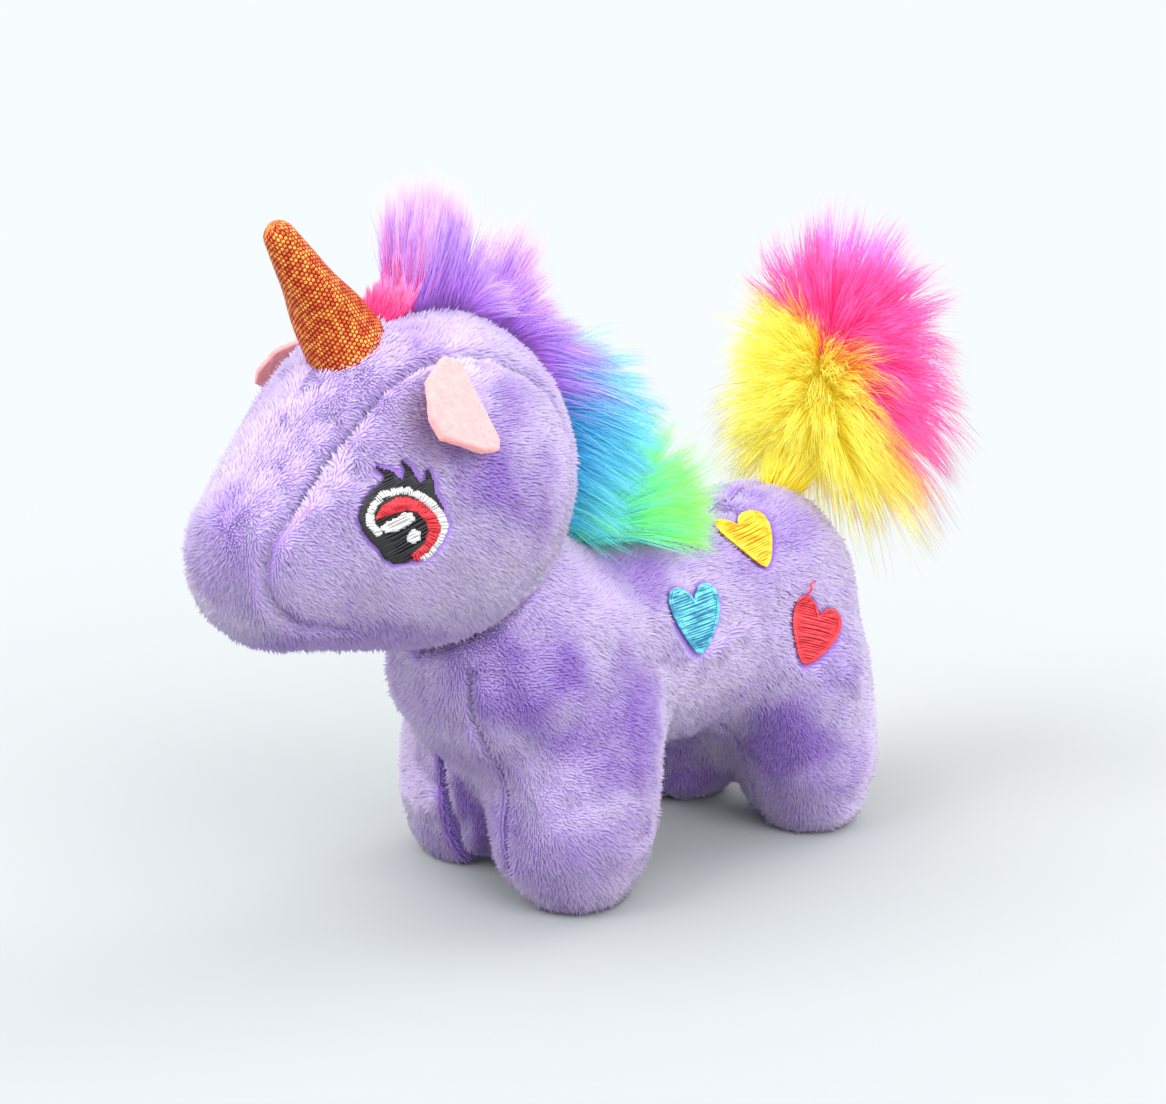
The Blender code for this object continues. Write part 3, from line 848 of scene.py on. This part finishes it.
def scaled(outline, share):
    """An outline drawn smaller or larger about its middle."""
    return [(u * share, v * share) for u, v in outline]


def in_mm(outline):
    """An outline given in millimetres, in metres."""
    return [(u * MM, v * MM) for u, v in outline]


def heart_stitching(ground, outline, seed, loose_end):
    """One heart's underlay, and its rows and stitched edge, with the thread's loose end if it has one."""
    pad = pad_mesh(ground, scaled(outline, HEART_PAD_SHARE), PAD_HEIGHT)
    fill = rows(scaled(outline, HEART_FILL_SHARE), THREAD_PITCH, HEART_ROW_DEG)
    lines = sewn(ground, fill, PAD_HEIGHT + HEART_ROW_LIFT, seed)
    edge = [border(ground, scaled(outline, share), PAD_HEIGHT + rise) for share, rise in HEART_EDGES]
    if loose_end:
        edge.append([ground.at(u * MM, v * MM, PAD_HEIGHT + w * MM) for u, v, w in LOOSE_END])
    return pad, stitching([pad], [thread_mesh(lines, THREAD_R), thread_mesh(edge, HEART_EDGE_R)])


def make_hearts(tree, looks):
    """Three hearts on each side of the body; returns their underlays."""
    pads = []
    for colour, ((x, y, z), turn, breadth) in HEARTS.items():
        outline = heart_outline(HEART_W * breadth, HEART_H)
        slot_name = f"thread_{colour}"
        for hand, side in (("left", 1), ("right", -1)):
            node = f"heart_{colour}_{hand}"
            ground = Ground(tree, placed(side * x, y, z), turn, side)
            pad, stitched = heart_stitching(ground, outline, side + 2, colour == LOOSE_END_ON)
            pads.append(pad)
            add_piece(f"{node}_stitching", stitched, looks[slot_name], "body", [node])
    return pads


# The eye's outlines, in millimetres from its middle, with u towards the back of the head
EYE_BLACK = in_mm((
    (6.8, 2.5), (5.6, 4.6), (5.6, 6.5), (4.8, 8.8), (4.4, 6.9), (3.4, 6.5), (2.6, 7.6), (2.1, 9.0),
    (0.8, 10.3), (1.3, 8.8), (0.8, 7.35), (0.0, 7.35), (-0.8, 8.5), (-3.5, 9.6), (-2.2, 8.2),
    (-2.1, 7.35), (-4.2, 6.1), (-6.1, 4.2), (-7.1, 2.1), (-6.8, 0.0), (-5.7, -1.9), (-4.2, -3.6),
    (-3.4, -5.25), (-1.7, -6.2), (-0.1, -6.3), (2.4, -5.9), (3.8, -5.3), (5.0, -4.5), (6.6, -2.0),
    (7.0, 0.5),
))
EYE_WHITE = in_mm((
    (-4.4, -1.5), (-6.0, 0.5), (-5.9, 2.1), (-4.8, 4.1), (-3.2, 5.5), (-0.7, 6.1), (1.7, 5.9),
    (3.9, 4.7), (5.6, 3.1), (6.9, 1.3), (7.7, -0.8), (6.6, -3.4), (5.0, -5.2), (3.4, -6.3),
    (2.6, -5.6), (4.3, -4.6), (5.6, -3.0), (6.4, -1.0), (5.6, 1.0), (4.5, 2.4), (3.2, 3.6),
    (1.3, 4.7), (-0.8, 4.9), (-2.8, 4.4), (-4.0, 3.2), (-4.8, 2.0), (-4.8, 0.6), (-3.6, -0.9),
))
EYE_RED = in_mm((
    (-4.4, 1.4), (-3.4, 3.2), (-1.0, 4.6), (1.2, 4.4), (3.2, 3.4), (5.4, 1.2), (6.2, -1.2),
    (5.4, -3.2), (4.0, -4.6), (2.1, -6.3), (1.1, -5.1), (3.4, -3.2), (4.2, -1.4), (3.8, 0.3),
    (2.5, 1.8), (0.8, 2.5), (-1.5, 2.0),
))
EYE_GLINT = in_mm((
    (-4.0, -0.3), (-3.0, 0.6), (-1.4, 1.2), (0.3, 1.9), (1.4, 1.8), (1.9, 0.7), (0.6, -0.2), (-1.2, -0.8),
    (-3.2, -0.9),
))
EYE_GLINT_LOW = in_mm(((0.5, -1.6), (1.6, -0.8), (2.7, -1.5), (2.5, -2.7), (1.5, -3.15), (0.4, -2.6)))
EYE_CENTRE = (20.4, -66.4, 71.2)
EYE_SHARE = 0.88
EYE_ROW_LIFT = 0.1 * MM
EYE_RIM_ROW_DEG = 24
EYE_GLINT_ROW_DEG = 20

# Fields of the eye: finish, outlines, lift over the skin, and the angle of its rows, or None for rays
EYE_FIELDS = {
    "black": ("thread_black", (EYE_BLACK,), 0.0, EYE_RIM_ROW_DEG),
    "white": ("thread_white", (EYE_WHITE,), 0.16 * MM, None),
    "red": ("thread_red", (EYE_RED,), 0.3 * MM, None),
    "glint": ("thread_white", (EYE_GLINT, EYE_GLINT_LOW), 0.34 * MM, EYE_GLINT_ROW_DEG),
}


def eye_field(ground, outlines, height, row_degrees, seed):
    """One field of the eye: the underlays of its outlines, and their stitches."""
    pads, threads = [], []
    for outline in outlines:
        outline = scaled(outline, EYE_SHARE)
        if row_degrees is None:
            runs = rays(outline, THREAD_PITCH)
        else:
            runs = rows(outline, THREAD_PITCH, row_degrees)
        pads.append(pad_mesh(ground, outline, height))
        threads.append(thread_mesh(sewn(ground, runs, height + EYE_ROW_LIFT, seed), THREAD_R))
    return pads, stitching(pads, threads)


def make_eyes(tree, looks):
    """The stitched eyes: rim, lashes and pupil in black, then white, red and the glints."""
    underlays = []
    for hand, side in (("left", 1), ("right", -1)):
        x, y, z = EYE_CENTRE
        ground = Ground(tree, placed(side * x, y, z), 0, side)
        for field, (slot_name, outlines, lift, row_degrees) in EYE_FIELDS.items():
            node = f"eye_{field}_{hand}"
            pads, stitched = eye_field(ground, outlines, PAD_HEIGHT + lift, row_degrees, side + 5)
            underlays += pads
            add_piece(f"{node}_stitching", stitched, looks[slot_name], "head", [node])
    return underlays


# ---- horn and ears


def horn_ends():
    """The foot and the tip of the horn's axis, from the cover's own points."""
    points = points_of(frame["nodes"]["horn_cover"].data)
    top, foot = points[:, 2].max(), points[:, 2].min()
    tip = Vector(points[points[:, 2] > top - HORN_TIP_BAND].mean(axis=0)) + HORN_TIP_SHIFT
    base = Vector(points[points[:, 2] < foot + HORN_FOOT_BAND].mean(axis=0))
    return base - (tip - base).normalized() * HORN_ROOT, tip


def lay_out_cloth(bm, length):
    """The flat pattern of the horn's cloth as its UV map: a fan round the cone's point, in foil dots."""
    layer = bm.loops.layers.uv.new("wrap")
    opening = (HORN_BASE_R - HORN_TIP_R) / length
    apex = HORN_BASE_R / opening
    for face in bm.faces:
        angles = [math.atan2(loop.vert.co.y, loop.vert.co.x) % (2 * math.pi) for loop in face.loops]
        if max(angles) - min(angles) > math.pi:
            angles = [a + 2 * math.pi if a < math.pi else a for a in angles]
        for loop, angle in zip(face.loops, angles):
            reach = (apex - loop.vert.co.z * length) / FOIL_PITCH
            loop[layer].uv = (reach * math.cos(angle * opening), reach * math.sin(angle * opening))


def horn_radius(t, angle):
    """The horn's radius at a share of its height: tapered, rounded at its tip, crushed and ridged."""
    radius = HORN_BASE_R + (HORN_TIP_R - HORN_BASE_R) * t**HORN_TAPER
    start, over, share = HORN_ROUNDED
    radius *= 1 - max(0.0, (t - start) / over) ** 2 * share
    crush = 1 + HORN_OVAL * math.cos(2 * angle + 0.8)
    crush -= HORN_CRUSH * math.sin(9 * t + 2 * angle) * math.exp(-(((t - 0.35) / 0.3) ** 2))
    return radius * crush + HORN_RIDGE * math.exp(-(((angle - HORN_RIDGE_AT) / 0.2) ** 2))


def horn_cone(base, tip, inset):
    """A soft cone, a little crushed, with one ridge behind, that far inside the cloth's face."""
    length = (tip - base).length
    bm = ringed_cone(HORN_SEGMENTS, 1, HORN_RINGS)
    lay_out_cloth(bm, length)
    turn = (tip - base).to_track_quat("Z", "Y").to_matrix()
    for vert in bm.verts:
        t = vert.co.z
        angle = math.atan2(vert.co.y, vert.co.x)
        spot = Vector((math.cos(angle), math.sin(angle), 0)) * (horn_radius(t, angle) - inset)
        spot.z = inset + t * (length - 2 * inset)
        vert.co = base + turn @ spot
    return faced_out(bm)


def make_horn(cloth, stuffing):
    """The horn's cloth, and its stuffing a little inside."""
    base, tip = horn_ends()
    filled = horn_cone(base, tip, HORN_INSET)
    add_piece("horn_stuffing", filled, stuffing, "head", ["horn_filling"])
    return add_piece("horn_cloth", horn_cone(base, tip, 0), cloth, "head", ["horn_cover"])


def make_ears(look):
    """Cut felt flaps: rounded, with a soft cut edge."""
    for hand in ("left", "right"):
        node = f"ear_{hand}"
        mesh = with_modifiers(
            frame_copy(node),
            ("REMESH", {"mode": "VOXEL", "voxel_size": EAR_VOXEL}),
            ("SMOOTH", {"factor": SMOOTH_FACTOR, "iterations": EAR_SMOOTHING}),
        )
        points, normals = points_of(mesh), normals_of(mesh)
        hinge = np.array(joint_place(f"{hand}_ear_flap"))
        points = hinge + (points - hinge) * EAR_SHARE[hand]
        fuzz = soft_noise(points, FELT_GRAIN, 5) - 0.5
        set_points(mesh, points + normals * fuzz[:, None] * FELT_FUZZ)
        mesh.shade_smooth()
        add_piece(f"{node}_felt", mesh, look, f"{hand}_ear", [node])


# ---- long pile


def strand_mesh(count):
    """The shape of one slim closed strand of height 1, and a mesh of many, to be bent into place."""
    one = mesh_of(ringed_cone(3, 0, STRAND_RINGS))
    shape = points_of(one)
    spread = {"count": count, "relative_offset_displace": (STRAND_SPACING, 0, 0)}
    return shape, with_modifiers(one, ("ARRAY", spread))


def bent_strands(paths, seed):
    """One mesh of strands along paths, an array (strands, rings + 1, 3), and its points' heights."""
    shape, mesh = strand_mesh(len(paths))
    chance = np.random.default_rng(seed)
    ring = np.rint(shape[:, 2] * STRAND_RINGS).astype(int)
    angle = np.arctan2(shape[:, 1], shape[:, 0])
    way = unit(np.gradient(paths, axis=1))
    first = unit(np.cross(way, chance.normal(size=(len(paths), 1, 3))))
    second = np.cross(way, first)
    size = (0.7 + 0.6 * chance.random(len(paths)))[:, None] * np.array(STRAND_TAPER)[None, :]
    across = STRAND_W * size[:, ring] * np.cos(angle)[None, :]
    over = STRAND_T * size[:, ring] * np.sin(angle)[None, :]
    points = paths[:, ring] + first[:, ring] * across[..., None] + second[:, ring] * over[..., None]
    set_points(mesh, points.reshape(-1, 3))
    mesh.shade_smooth()
    return mesh, ring / STRAND_RINGS


def curved(roots, ways, lengths, droop, gravity, waver, seed):
    """Strand paths: out along ways, bent by gravity, with a little waver."""
    chance = np.random.default_rng(seed)
    t = np.linspace(0, 1, STRAND_RINGS + 1)[None, :, None]
    lengths = lengths[:, None, None]
    paths = roots[:, None] + ways[:, None] * lengths * t
    paths = paths + np.array(gravity)[None, None] * (droop[:, None, None] * lengths) * t**2
    swing = chance.normal(size=(len(roots), 1, 3)) * waver
    return paths + swing * lengths * np.sin(2.5 * t) * t


def gathered(paths, count, pull, seed):
    """Draws the ends of strands together into locks round some of their number."""
    chance = np.random.default_rng(seed)
    leaders = chance.choice(len(paths), count, replace=False)
    middle = paths[:, STRAND_BEND_RING]
    nearest = np.empty(len(paths), int)
    for start in range(0, len(paths), LOCK_BATCH):
        some = middle[start : start + LOCK_BATCH]
        gaps = np.linalg.norm(some[:, None] - middle[leaders][None], axis=2)
        nearest[start : start + LOCK_BATCH] = leaders[gaps.argmin(axis=1)]
    t = np.linspace(0, 1, STRAND_RINGS + 1)[None, :, None]
    strength = pull * (0.6 + 0.8 * chance.random(len(paths)))[:, None, None]
    return paths + (paths[nearest] - paths) * np.clip(strength * t**1.3, 0, 1)


# Dyes
HOT_PINK = linear(250, 62, 140)
SOFT_PINK = linear(248, 150, 205)
VIOLET = linear(190, 126, 232)
LILAC = linear(212, 178, 242)
LAVENDER = linear(192, 158, 238)
BLUE = linear(34, 150, 214)
CYAN = linear(120, 222, 242)
AQUA = linear(120, 240, 216)
LIME = linear(140, 246, 100)
PALE_LIME = linear(190, 252, 140)
YELLOW = linear(240, 216, 40)
PALE_YELLOW = linear(252, 240, 110)
ORANGE = linear(252, 150, 30)
PALE_ORANGE = linear(254, 196, 96)
MAGENTA = linear(246, 50, 138)
ROSE = linear(248, 98, 178)
MAUVE = linear(190, 138, 228)

# Along the mane: place, root (Y, Z), way (Y, Z), length, fan to the sides, dye at root, dye at tip
PLACE, ROOT, WAY, LENGTH, FAN, ROOT_DYE, TIP_DYE = range(7)
MANE = (
    (0.00, (-55.5, 97.0), (0.30, 0.90), 3.5, 0.3, HOT_PINK, HOT_PINK),
    (0.084, (-51.5, 97.6), (0.15, 1.00), 6.0, 0.25, HOT_PINK, SOFT_PINK),
    (0.090, (-51.0, 98.0), (0.12, 1.00), 15.0, 0.12, VIOLET, LILAC),
    (0.20, (-46.0, 98.0), (0.03, 1.00), 19.0, 0.14, VIOLET, LILAC),
    (0.28, (-42.0, 97.2), (0.02, 1.00), 18.0, 0.16, VIOLET, LILAC),
    (0.33, (-38.8, 96.2), (0.80, 0.50), 8.0, 0.4, VIOLET, LILAC),
    (0.37, (-35.5, 94.8), (0.70, 0.60), 8.0, 0.3, VIOLET, LILAC),
    (0.40, (-33.5, 93.6), (0.35, 1.00), 23.0, 0.08, VIOLET, LILAC),
    (0.43, (-31.5, 92.4), (0.60, 0.80), 12.0, 0.3, VIOLET, LILAC),
    (0.50, (-28.0, 89.5), (0.90, 0.25), 12.5, 0.5, VIOLET, LAVENDER),
    (0.58, (-27.0, 84.0), (0.95, 0.15), 21.0, 0.5, VIOLET, CYAN),
    (0.66, (-25.5, 78.5), (0.97, 0.10), 21.5, 0.6, BLUE, CYAN),
    (0.76, (-25.0, 72.0), (0.99, 0.02), 20.5, 0.6, BLUE, CYAN),
    (0.845, (-24.0, 61.5), (0.92, -0.05), 19.0, 0.6, BLUE, AQUA),
    (0.85, (-18.0, 56.5), (0.72, 0.75), 30.0, 0.45, AQUA, LIME),
    (0.92, (-9.0, 54.6), (0.72, 0.72), 26.0, 0.4, AQUA, LIME),
    (1.00, (-1.5, 53.8), (0.90, 0.45), 15.0, 0.35, LIME, PALE_LIME),
)
MANE_HALF_W = 3.2 * MM
MANE_ARCH = 0.5 * MM
MANE_FAN = 1.4
MANE_LOCK_PULL = 0.5
MANE_DYE_BLUR = 0.02
# painted shade: the share of its colour that a mane strand keeps at its root
MANE_ROOT_PAINTED_SHADE = 0.8

# Bands of the mane: node, finish, body, its two ends, strands, locks, and the nodes it stands for
MANE_BANDS = (
    ("mane_pink", "fur_pink", "head", 0.0, 0.085, 1500, 60, ["mane_pink"]),
    ("mane_purple", "fur_purple", "head", 0.085, 0.56, 8700, 170, ["mane_purple", "mane_backing_head"]),
    ("mane_blue", "fur_blue", "head", 0.56, 0.845, 8000, 260, ["mane_blue"]),
    ("mane_green", "fur_green", "body", 0.85, 1.0, 8600, 300, ["mane_green", "mane_backing_body"]),
)


def along_mane(s, column):
    """One column of the mane's stations, at the strands' places along it."""
    at = [row[PLACE] for row in MANE]
    values = np.array([row[column] for row in MANE], float)
    if values.ndim == 1:
        return np.interp(s, at, values)
    return np.stack([np.interp(s, at, values[:, k]) for k in range(values.shape[1])], axis=1)


def mane_paths(low, high, count, seed):
    """Strands along one band of the mane, the outer ones fanned to the sides."""
    chance = np.random.default_rng(seed)
    s = low + (high - low) * chance.random(count)
    side = chance.uniform(-1, 1, count)
    root = along_mane(s, ROOT) * MM
    way = along_mane(s, WAY)
    fan = along_mane(s, FAN) * side * MANE_FAN + 0.1 * chance.normal(size=count)
    roots = np.stack([side * MANE_HALF_W, root[:, 0], root[:, 1] - MANE_ARCH * side**2], axis=1)
    loose = 0.07 + 0.13 * smooth_step(s, 0.5, 0.7)
    ways = np.stack([fan, way[:, 0], way[:, 1]], axis=1) + loose[:, None] * chance.normal(size=(count, 3))
    lengths = along_mane(s, LENGTH) * MM * (1.08 - 0.5 * chance.random(count) ** 1.6)
    lengths *= 1 - 0.3 * np.abs(side) * smooth_step(s, 0.6, 0.85)
    droop = 0.06 + 0.3 * np.abs(side) + 0.1 * chance.random(count)
    droop *= s > 0.3
    return s, curved(roots + np.array(ORIGIN), unit(ways), lengths, droop, (0, 0, -1), 0.07, seed + 1)


def dyed_with_root_shade(heights, first, last, seed, deep):
    """Colours along strands: the dyes full at the root, paler at the tip, each strand a little its own,
    with painted shade near the root that deep sets.
    """
    chance = np.random.default_rng(seed)
    share = smooth_step(heights, 0.15, 0.95)[None, :, None]
    colours = first[:, None] * (1 - share) + last[:, None] * share
    shade = 1 + DYE_UNEVEN * chance.normal(size=(len(first), 1, 1))
    # painted shade near the roots, where the strands shade one another
    painted_root_shade = deep + (1 - deep) * smooth_step(heights, 0.0, 0.35)[None, :, None]
    return np.clip(colours * shade * painted_root_shade, 0.0, 0.97).reshape(-1, 3)


def make_mane(look):
    """The mane, band by band."""
    for index, (name, slot_name, body, low, high, count, locks, replaced) in enumerate(MANE_BANDS):
        s, paths = mane_paths(low, high, count, 100 + index)
        paths = gathered(paths, locks, MANE_LOCK_PULL, 120 + index)
        mesh, heights = bent_strands(paths, 140 + index)
        blurred = s + MANE_DYE_BLUR * np.random.default_rng(160 + index).normal(size=count)
        first, last = along_mane(blurred, ROOT_DYE), along_mane(blurred, TIP_DYE)
        set_colour(mesh, "dye_and_root_shade", dyed_with_root_shade(heights, first, last, 180 + index, MANE_ROOT_PAINTED_SHADE))
        add_piece(f"{name}_fur", mesh, look, body, replaced)


# Tail: the core its strands leave, the foot of its stalk, and the ways its dyes are laid
TAIL_CORE = ((0, 41.0, 66.0), (0, 46.0, 81.5))
TAIL_FOOT = (0, 31.5, 54.5)
TAIL_STALK_SHARE = 0.12
TAIL_STALK_R = 3 * MM
TAIL_STALK_LENGTH = 0.6
TAIL_STALK_DROOP = 0.1
TAIL_LENGTH = 25.5 * MM
TAIL_HANG = -0.75
TAIL_STRANDS = 19000
TAIL_DYE_WAY = (0.25, 0.8, 0.6)
TAIL_TOP_WAY = (0.0, 0.35, 0.92)
TAIL_TOP_SHARE = 0.87
TAIL_DYE_PATCH = 0.5
TAIL_DYE_WARP = 0.35
TAIL_DYE_BLUR = 0.05
TAIL_LOCKS = 380
TAIL_LOCK_PULL = 0.45
# painted shade: the share of its colour that a tail strand keeps at its root
TAIL_ROOT_PAINTED_SHADE = 0.9

# Bands of the tail by their score along the dye's way, with the purple top ten above the rest:
# node, finish, lowest and highest score, dye at root, dye at tip, and the nodes it stands for
TAIL_TOP_SCORE = 10
TAIL_BANDS = (
    ("tail_yellow", "fur_yellow", -9.0, -0.34, YELLOW, PALE_YELLOW, ["tail_yellow"]),
    ("tail_orange", "fur_orange", -0.34, -0.21, ORANGE, PALE_ORANGE, ["tail_orange"]),
    ("tail_pink", "fur_pink", -0.21, 9.0, MAGENTA, ROSE, ["tail_pink", "tail_backing"]),
    ("tail_purple", "fur_purple", 9.0, 99.0, ROSE, MAUVE, ["tail_purple"]),
)


def tail_paths(seed):
    """Strands that fan from the tail's core: up at its end, outwards, then hanging at its root."""
    chance = np.random.default_rng(seed)
    low, high = (np.array(placed(*p)) for p in TAIL_CORE)
    axis = unit(high - low)
    rise = chance.uniform(TAIL_HANG, 1, TAIL_STRANDS)
    round_ = chance.uniform(0, 2 * np.pi, TAIL_STRANDS)
    aside = unit(np.cross(axis, (1.0, 0, 0)))
    out = np.cos(round_)[:, None] * np.array([1.0, 0, 0]) + np.sin(round_)[:, None] * aside
    ways = axis * rise[:, None] + out * np.sqrt(1 - rise**2)[:, None]
    t = (rise - TAIL_HANG) / (1 - TAIL_HANG)
    roots = low + (high - low) * t[:, None] + out * chance.uniform(1, 4, TAIL_STRANDS)[:, None] * MM
    ways = unit(ways + 0.35 * axis + 0.14 * chance.normal(size=ways.shape))
    lengths = TAIL_LENGTH * (0.8 + 0.2 * t) * (1.06 - 0.5 * chance.random(TAIL_STRANDS) ** 1.6)
    lengths *= 1 - 0.55 * (1 - t) * np.clip(-out[:, 1], 0, 1)
    droop = chance.uniform(0.1, 1.0, TAIL_STRANDS) * np.sqrt(1 - rise**2) * (0.8 + 0.3 * out[:, 1])
    stalk = chance.random(TAIL_STRANDS) < TAIL_STALK_SHARE
    foot = np.array(placed(*TAIL_FOOT))
    roots[stalk] = (foot + (low - foot) * t[:, None] + out * TAIL_STALK_R)[stalk]
    ways[stalk] = unit(unit(low - foot) + 0.3 * out)[stalk]
    lengths[stalk] *= TAIL_STALK_LENGTH
    droop[stalk] = TAIL_STALK_DROOP
    return curved(roots, ways, lengths, droop, (0, 0.05, -1), 0.1, seed + 1)


def tail_scores(paths):
    """How far along the dyes' way each strand points, blurred at the edges of the bands."""
    reach = unit(paths[:, STRAND_BEND_RING] - np.array(placed(*TAIL_CORE[1])))
    chance = np.random.default_rng(220)
    score = reach @ np.array(TAIL_DYE_WAY) + TAIL_DYE_BLUR * chance.normal(size=len(paths))
    score += TAIL_DYE_WARP * (soft_noise(reach, TAIL_DYE_PATCH, 9) - 0.5)
    score[reach @ np.array(TAIL_TOP_WAY) > TAIL_TOP_SHARE] += TAIL_TOP_SCORE
    return score


def make_tail(look):
    """The tail, band by band."""
    paths = tail_paths(200)
    score = tail_scores(paths)
    paths = gathered(paths, TAIL_LOCKS, TAIL_LOCK_PULL, 210)
    for index, (name, slot_name, low, high, root, tip, replaced) in enumerate(TAIL_BANDS):
        some = paths[(score >= low) & (score < high)]
        mesh, heights = bent_strands(some, 230 + index)
        first, last = np.tile(root, (len(some), 1)), np.tile(tip, (len(some), 1))
        set_colour(mesh, "dye_and_root_shade", dyed_with_root_shade(heights, first, last, 240 + index, TAIL_ROOT_PAINTED_SHADE))
        add_piece(f"{name}_fur", mesh, look, "tail", replaced)


# ---- stage


def make_floor():
    """A pale matt floor, wide enough to fill the view."""
    bm = bmesh.new()
    bmesh.ops.create_grid(bm, x_segments=1, y_segments=1, size=FLOOR_SIZE)
    floor = bpy.data.objects.new("floor", mesh_of(bm, "floor"))
    look = Look("floor", 0.8)
    look.shader.inputs["Specular IOR Level"].default_value = 0.0
    floor.data.materials.append(look.colour(FLOOR_COLOUR))
    bpy.context.scene.collection.objects.link(floor)


def make_light():
    """Soft light from all round, and broad lights from the front, the side and behind."""
    world = bpy.data.worlds.new("soft")
    world.use_nodes = True
    background = world.node_tree.nodes["Background"]
    background.inputs[0].default_value = (*linear(*WORLD_COLOUR), 1)
    background.inputs[1].default_value = WORLD_LIGHT
    bpy.context.scene.world = world
    for name, place, strength in LIGHTS:
        light = bpy.data.lights.new(name, "SUN")
        light.angle = math.radians(LIGHT_SPREAD_DEG)
        light.energy = strength
        lamp = bpy.data.objects.new(name, light)
        lamp.rotation_euler = Vector(place).to_track_quat("Z", "Y").to_euler()
        bpy.context.scene.collection.objects.link(lamp)


def make_camera():
    """A long lens to the left of the face, a little above it."""
    camera = bpy.data.cameras.new("camera")
    camera.lens = CAMERA_LENS
    camera.clip_start = CAMERA_NEAR
    viewer = bpy.data.objects.new("camera", camera)
    azimuth, elevation = math.radians(CAMERA_AZIMUTH_DEG), math.radians(CAMERA_ELEVATION_DEG)
    way = Vector((math.sin(azimuth), -math.cos(azimuth), math.tan(elevation))).normalized()
    viewer.location = placed(*CAMERA_AIM) + way * CAMERA_DISTANCE
    viewer.rotation_euler = (-way).to_track_quat("-Z", "Y").to_euler()
    bpy.context.scene.collection.objects.link(viewer)
    bpy.context.scene.camera = viewer
    bpy.context.scene.view_settings.view_transform = "Standard"


def all_looks():
    """The finishes by name."""
    looks = {
        "plush": plush_look(),
        "felt": felt_look(),
        "foil_cloth": foil_look(),
        "stuffing": stuffing_look(),
        "fur": fur_look(),
    }
    for colour, (dark, light) in THREADS.items():
        name = f"thread_{colour}"
        looks[name] = thread_look(name, linear(*dark), linear(*light))
    return looks


def make_skins(looks):
    """The plush of the body and the head: sewn in, embroidered, then given their pile."""
    body_skin = skin_base("body_filling")
    head_skin = skin_base("head_filling")
    sewn_in(body_skin, body_seams, BODY_PUCKER)
    sewn_in(head_skin, head_seams, HEAD_PUCKER)
    hearts = make_hearts(tree_of(body_skin), looks)
    eyes = make_eyes(tree_of(head_skin), looks)
    body_pile = with_pile(body_skin, tree_of(*hearts), body_seams, BODY_BRUSHED, 10)
    head_pile = with_pile(head_skin, tree_of(*eyes), head_seams, HEAD_BRUSHED, 20)
    soles = [f"sole_{end}_{hand}" for end in ("front", "hind") for hand in ("left", "right")]
    body_panels = ["body_side_left", "body_side_right", "belly_panel", *soles]
    head_panels = ["head_side_left", "head_side_right", "head_centre_panel"]
    for body, pile, panels in (("body", body_pile, body_panels), ("head", head_pile, head_panels)):
        skin = add_piece(f"{body}_plush", pile, looks["plush"], body, panels)


def main():
    """The whole unicorn, then its floor, light and camera."""
    looks = all_looks()
    make_skins(looks)
    horn = make_horn(looks["foil_cloth"], looks["stuffing"])
    make_ears(looks["felt"])
    make_mane(looks["fur"])
    make_tail(looks["fur"])
    for node in ("body_filling", "head_filling"):
        frame["nodes"][node].material_slots[0].material = looks["stuffing"]
    make_floor()
    make_light()
    make_camera()


main()
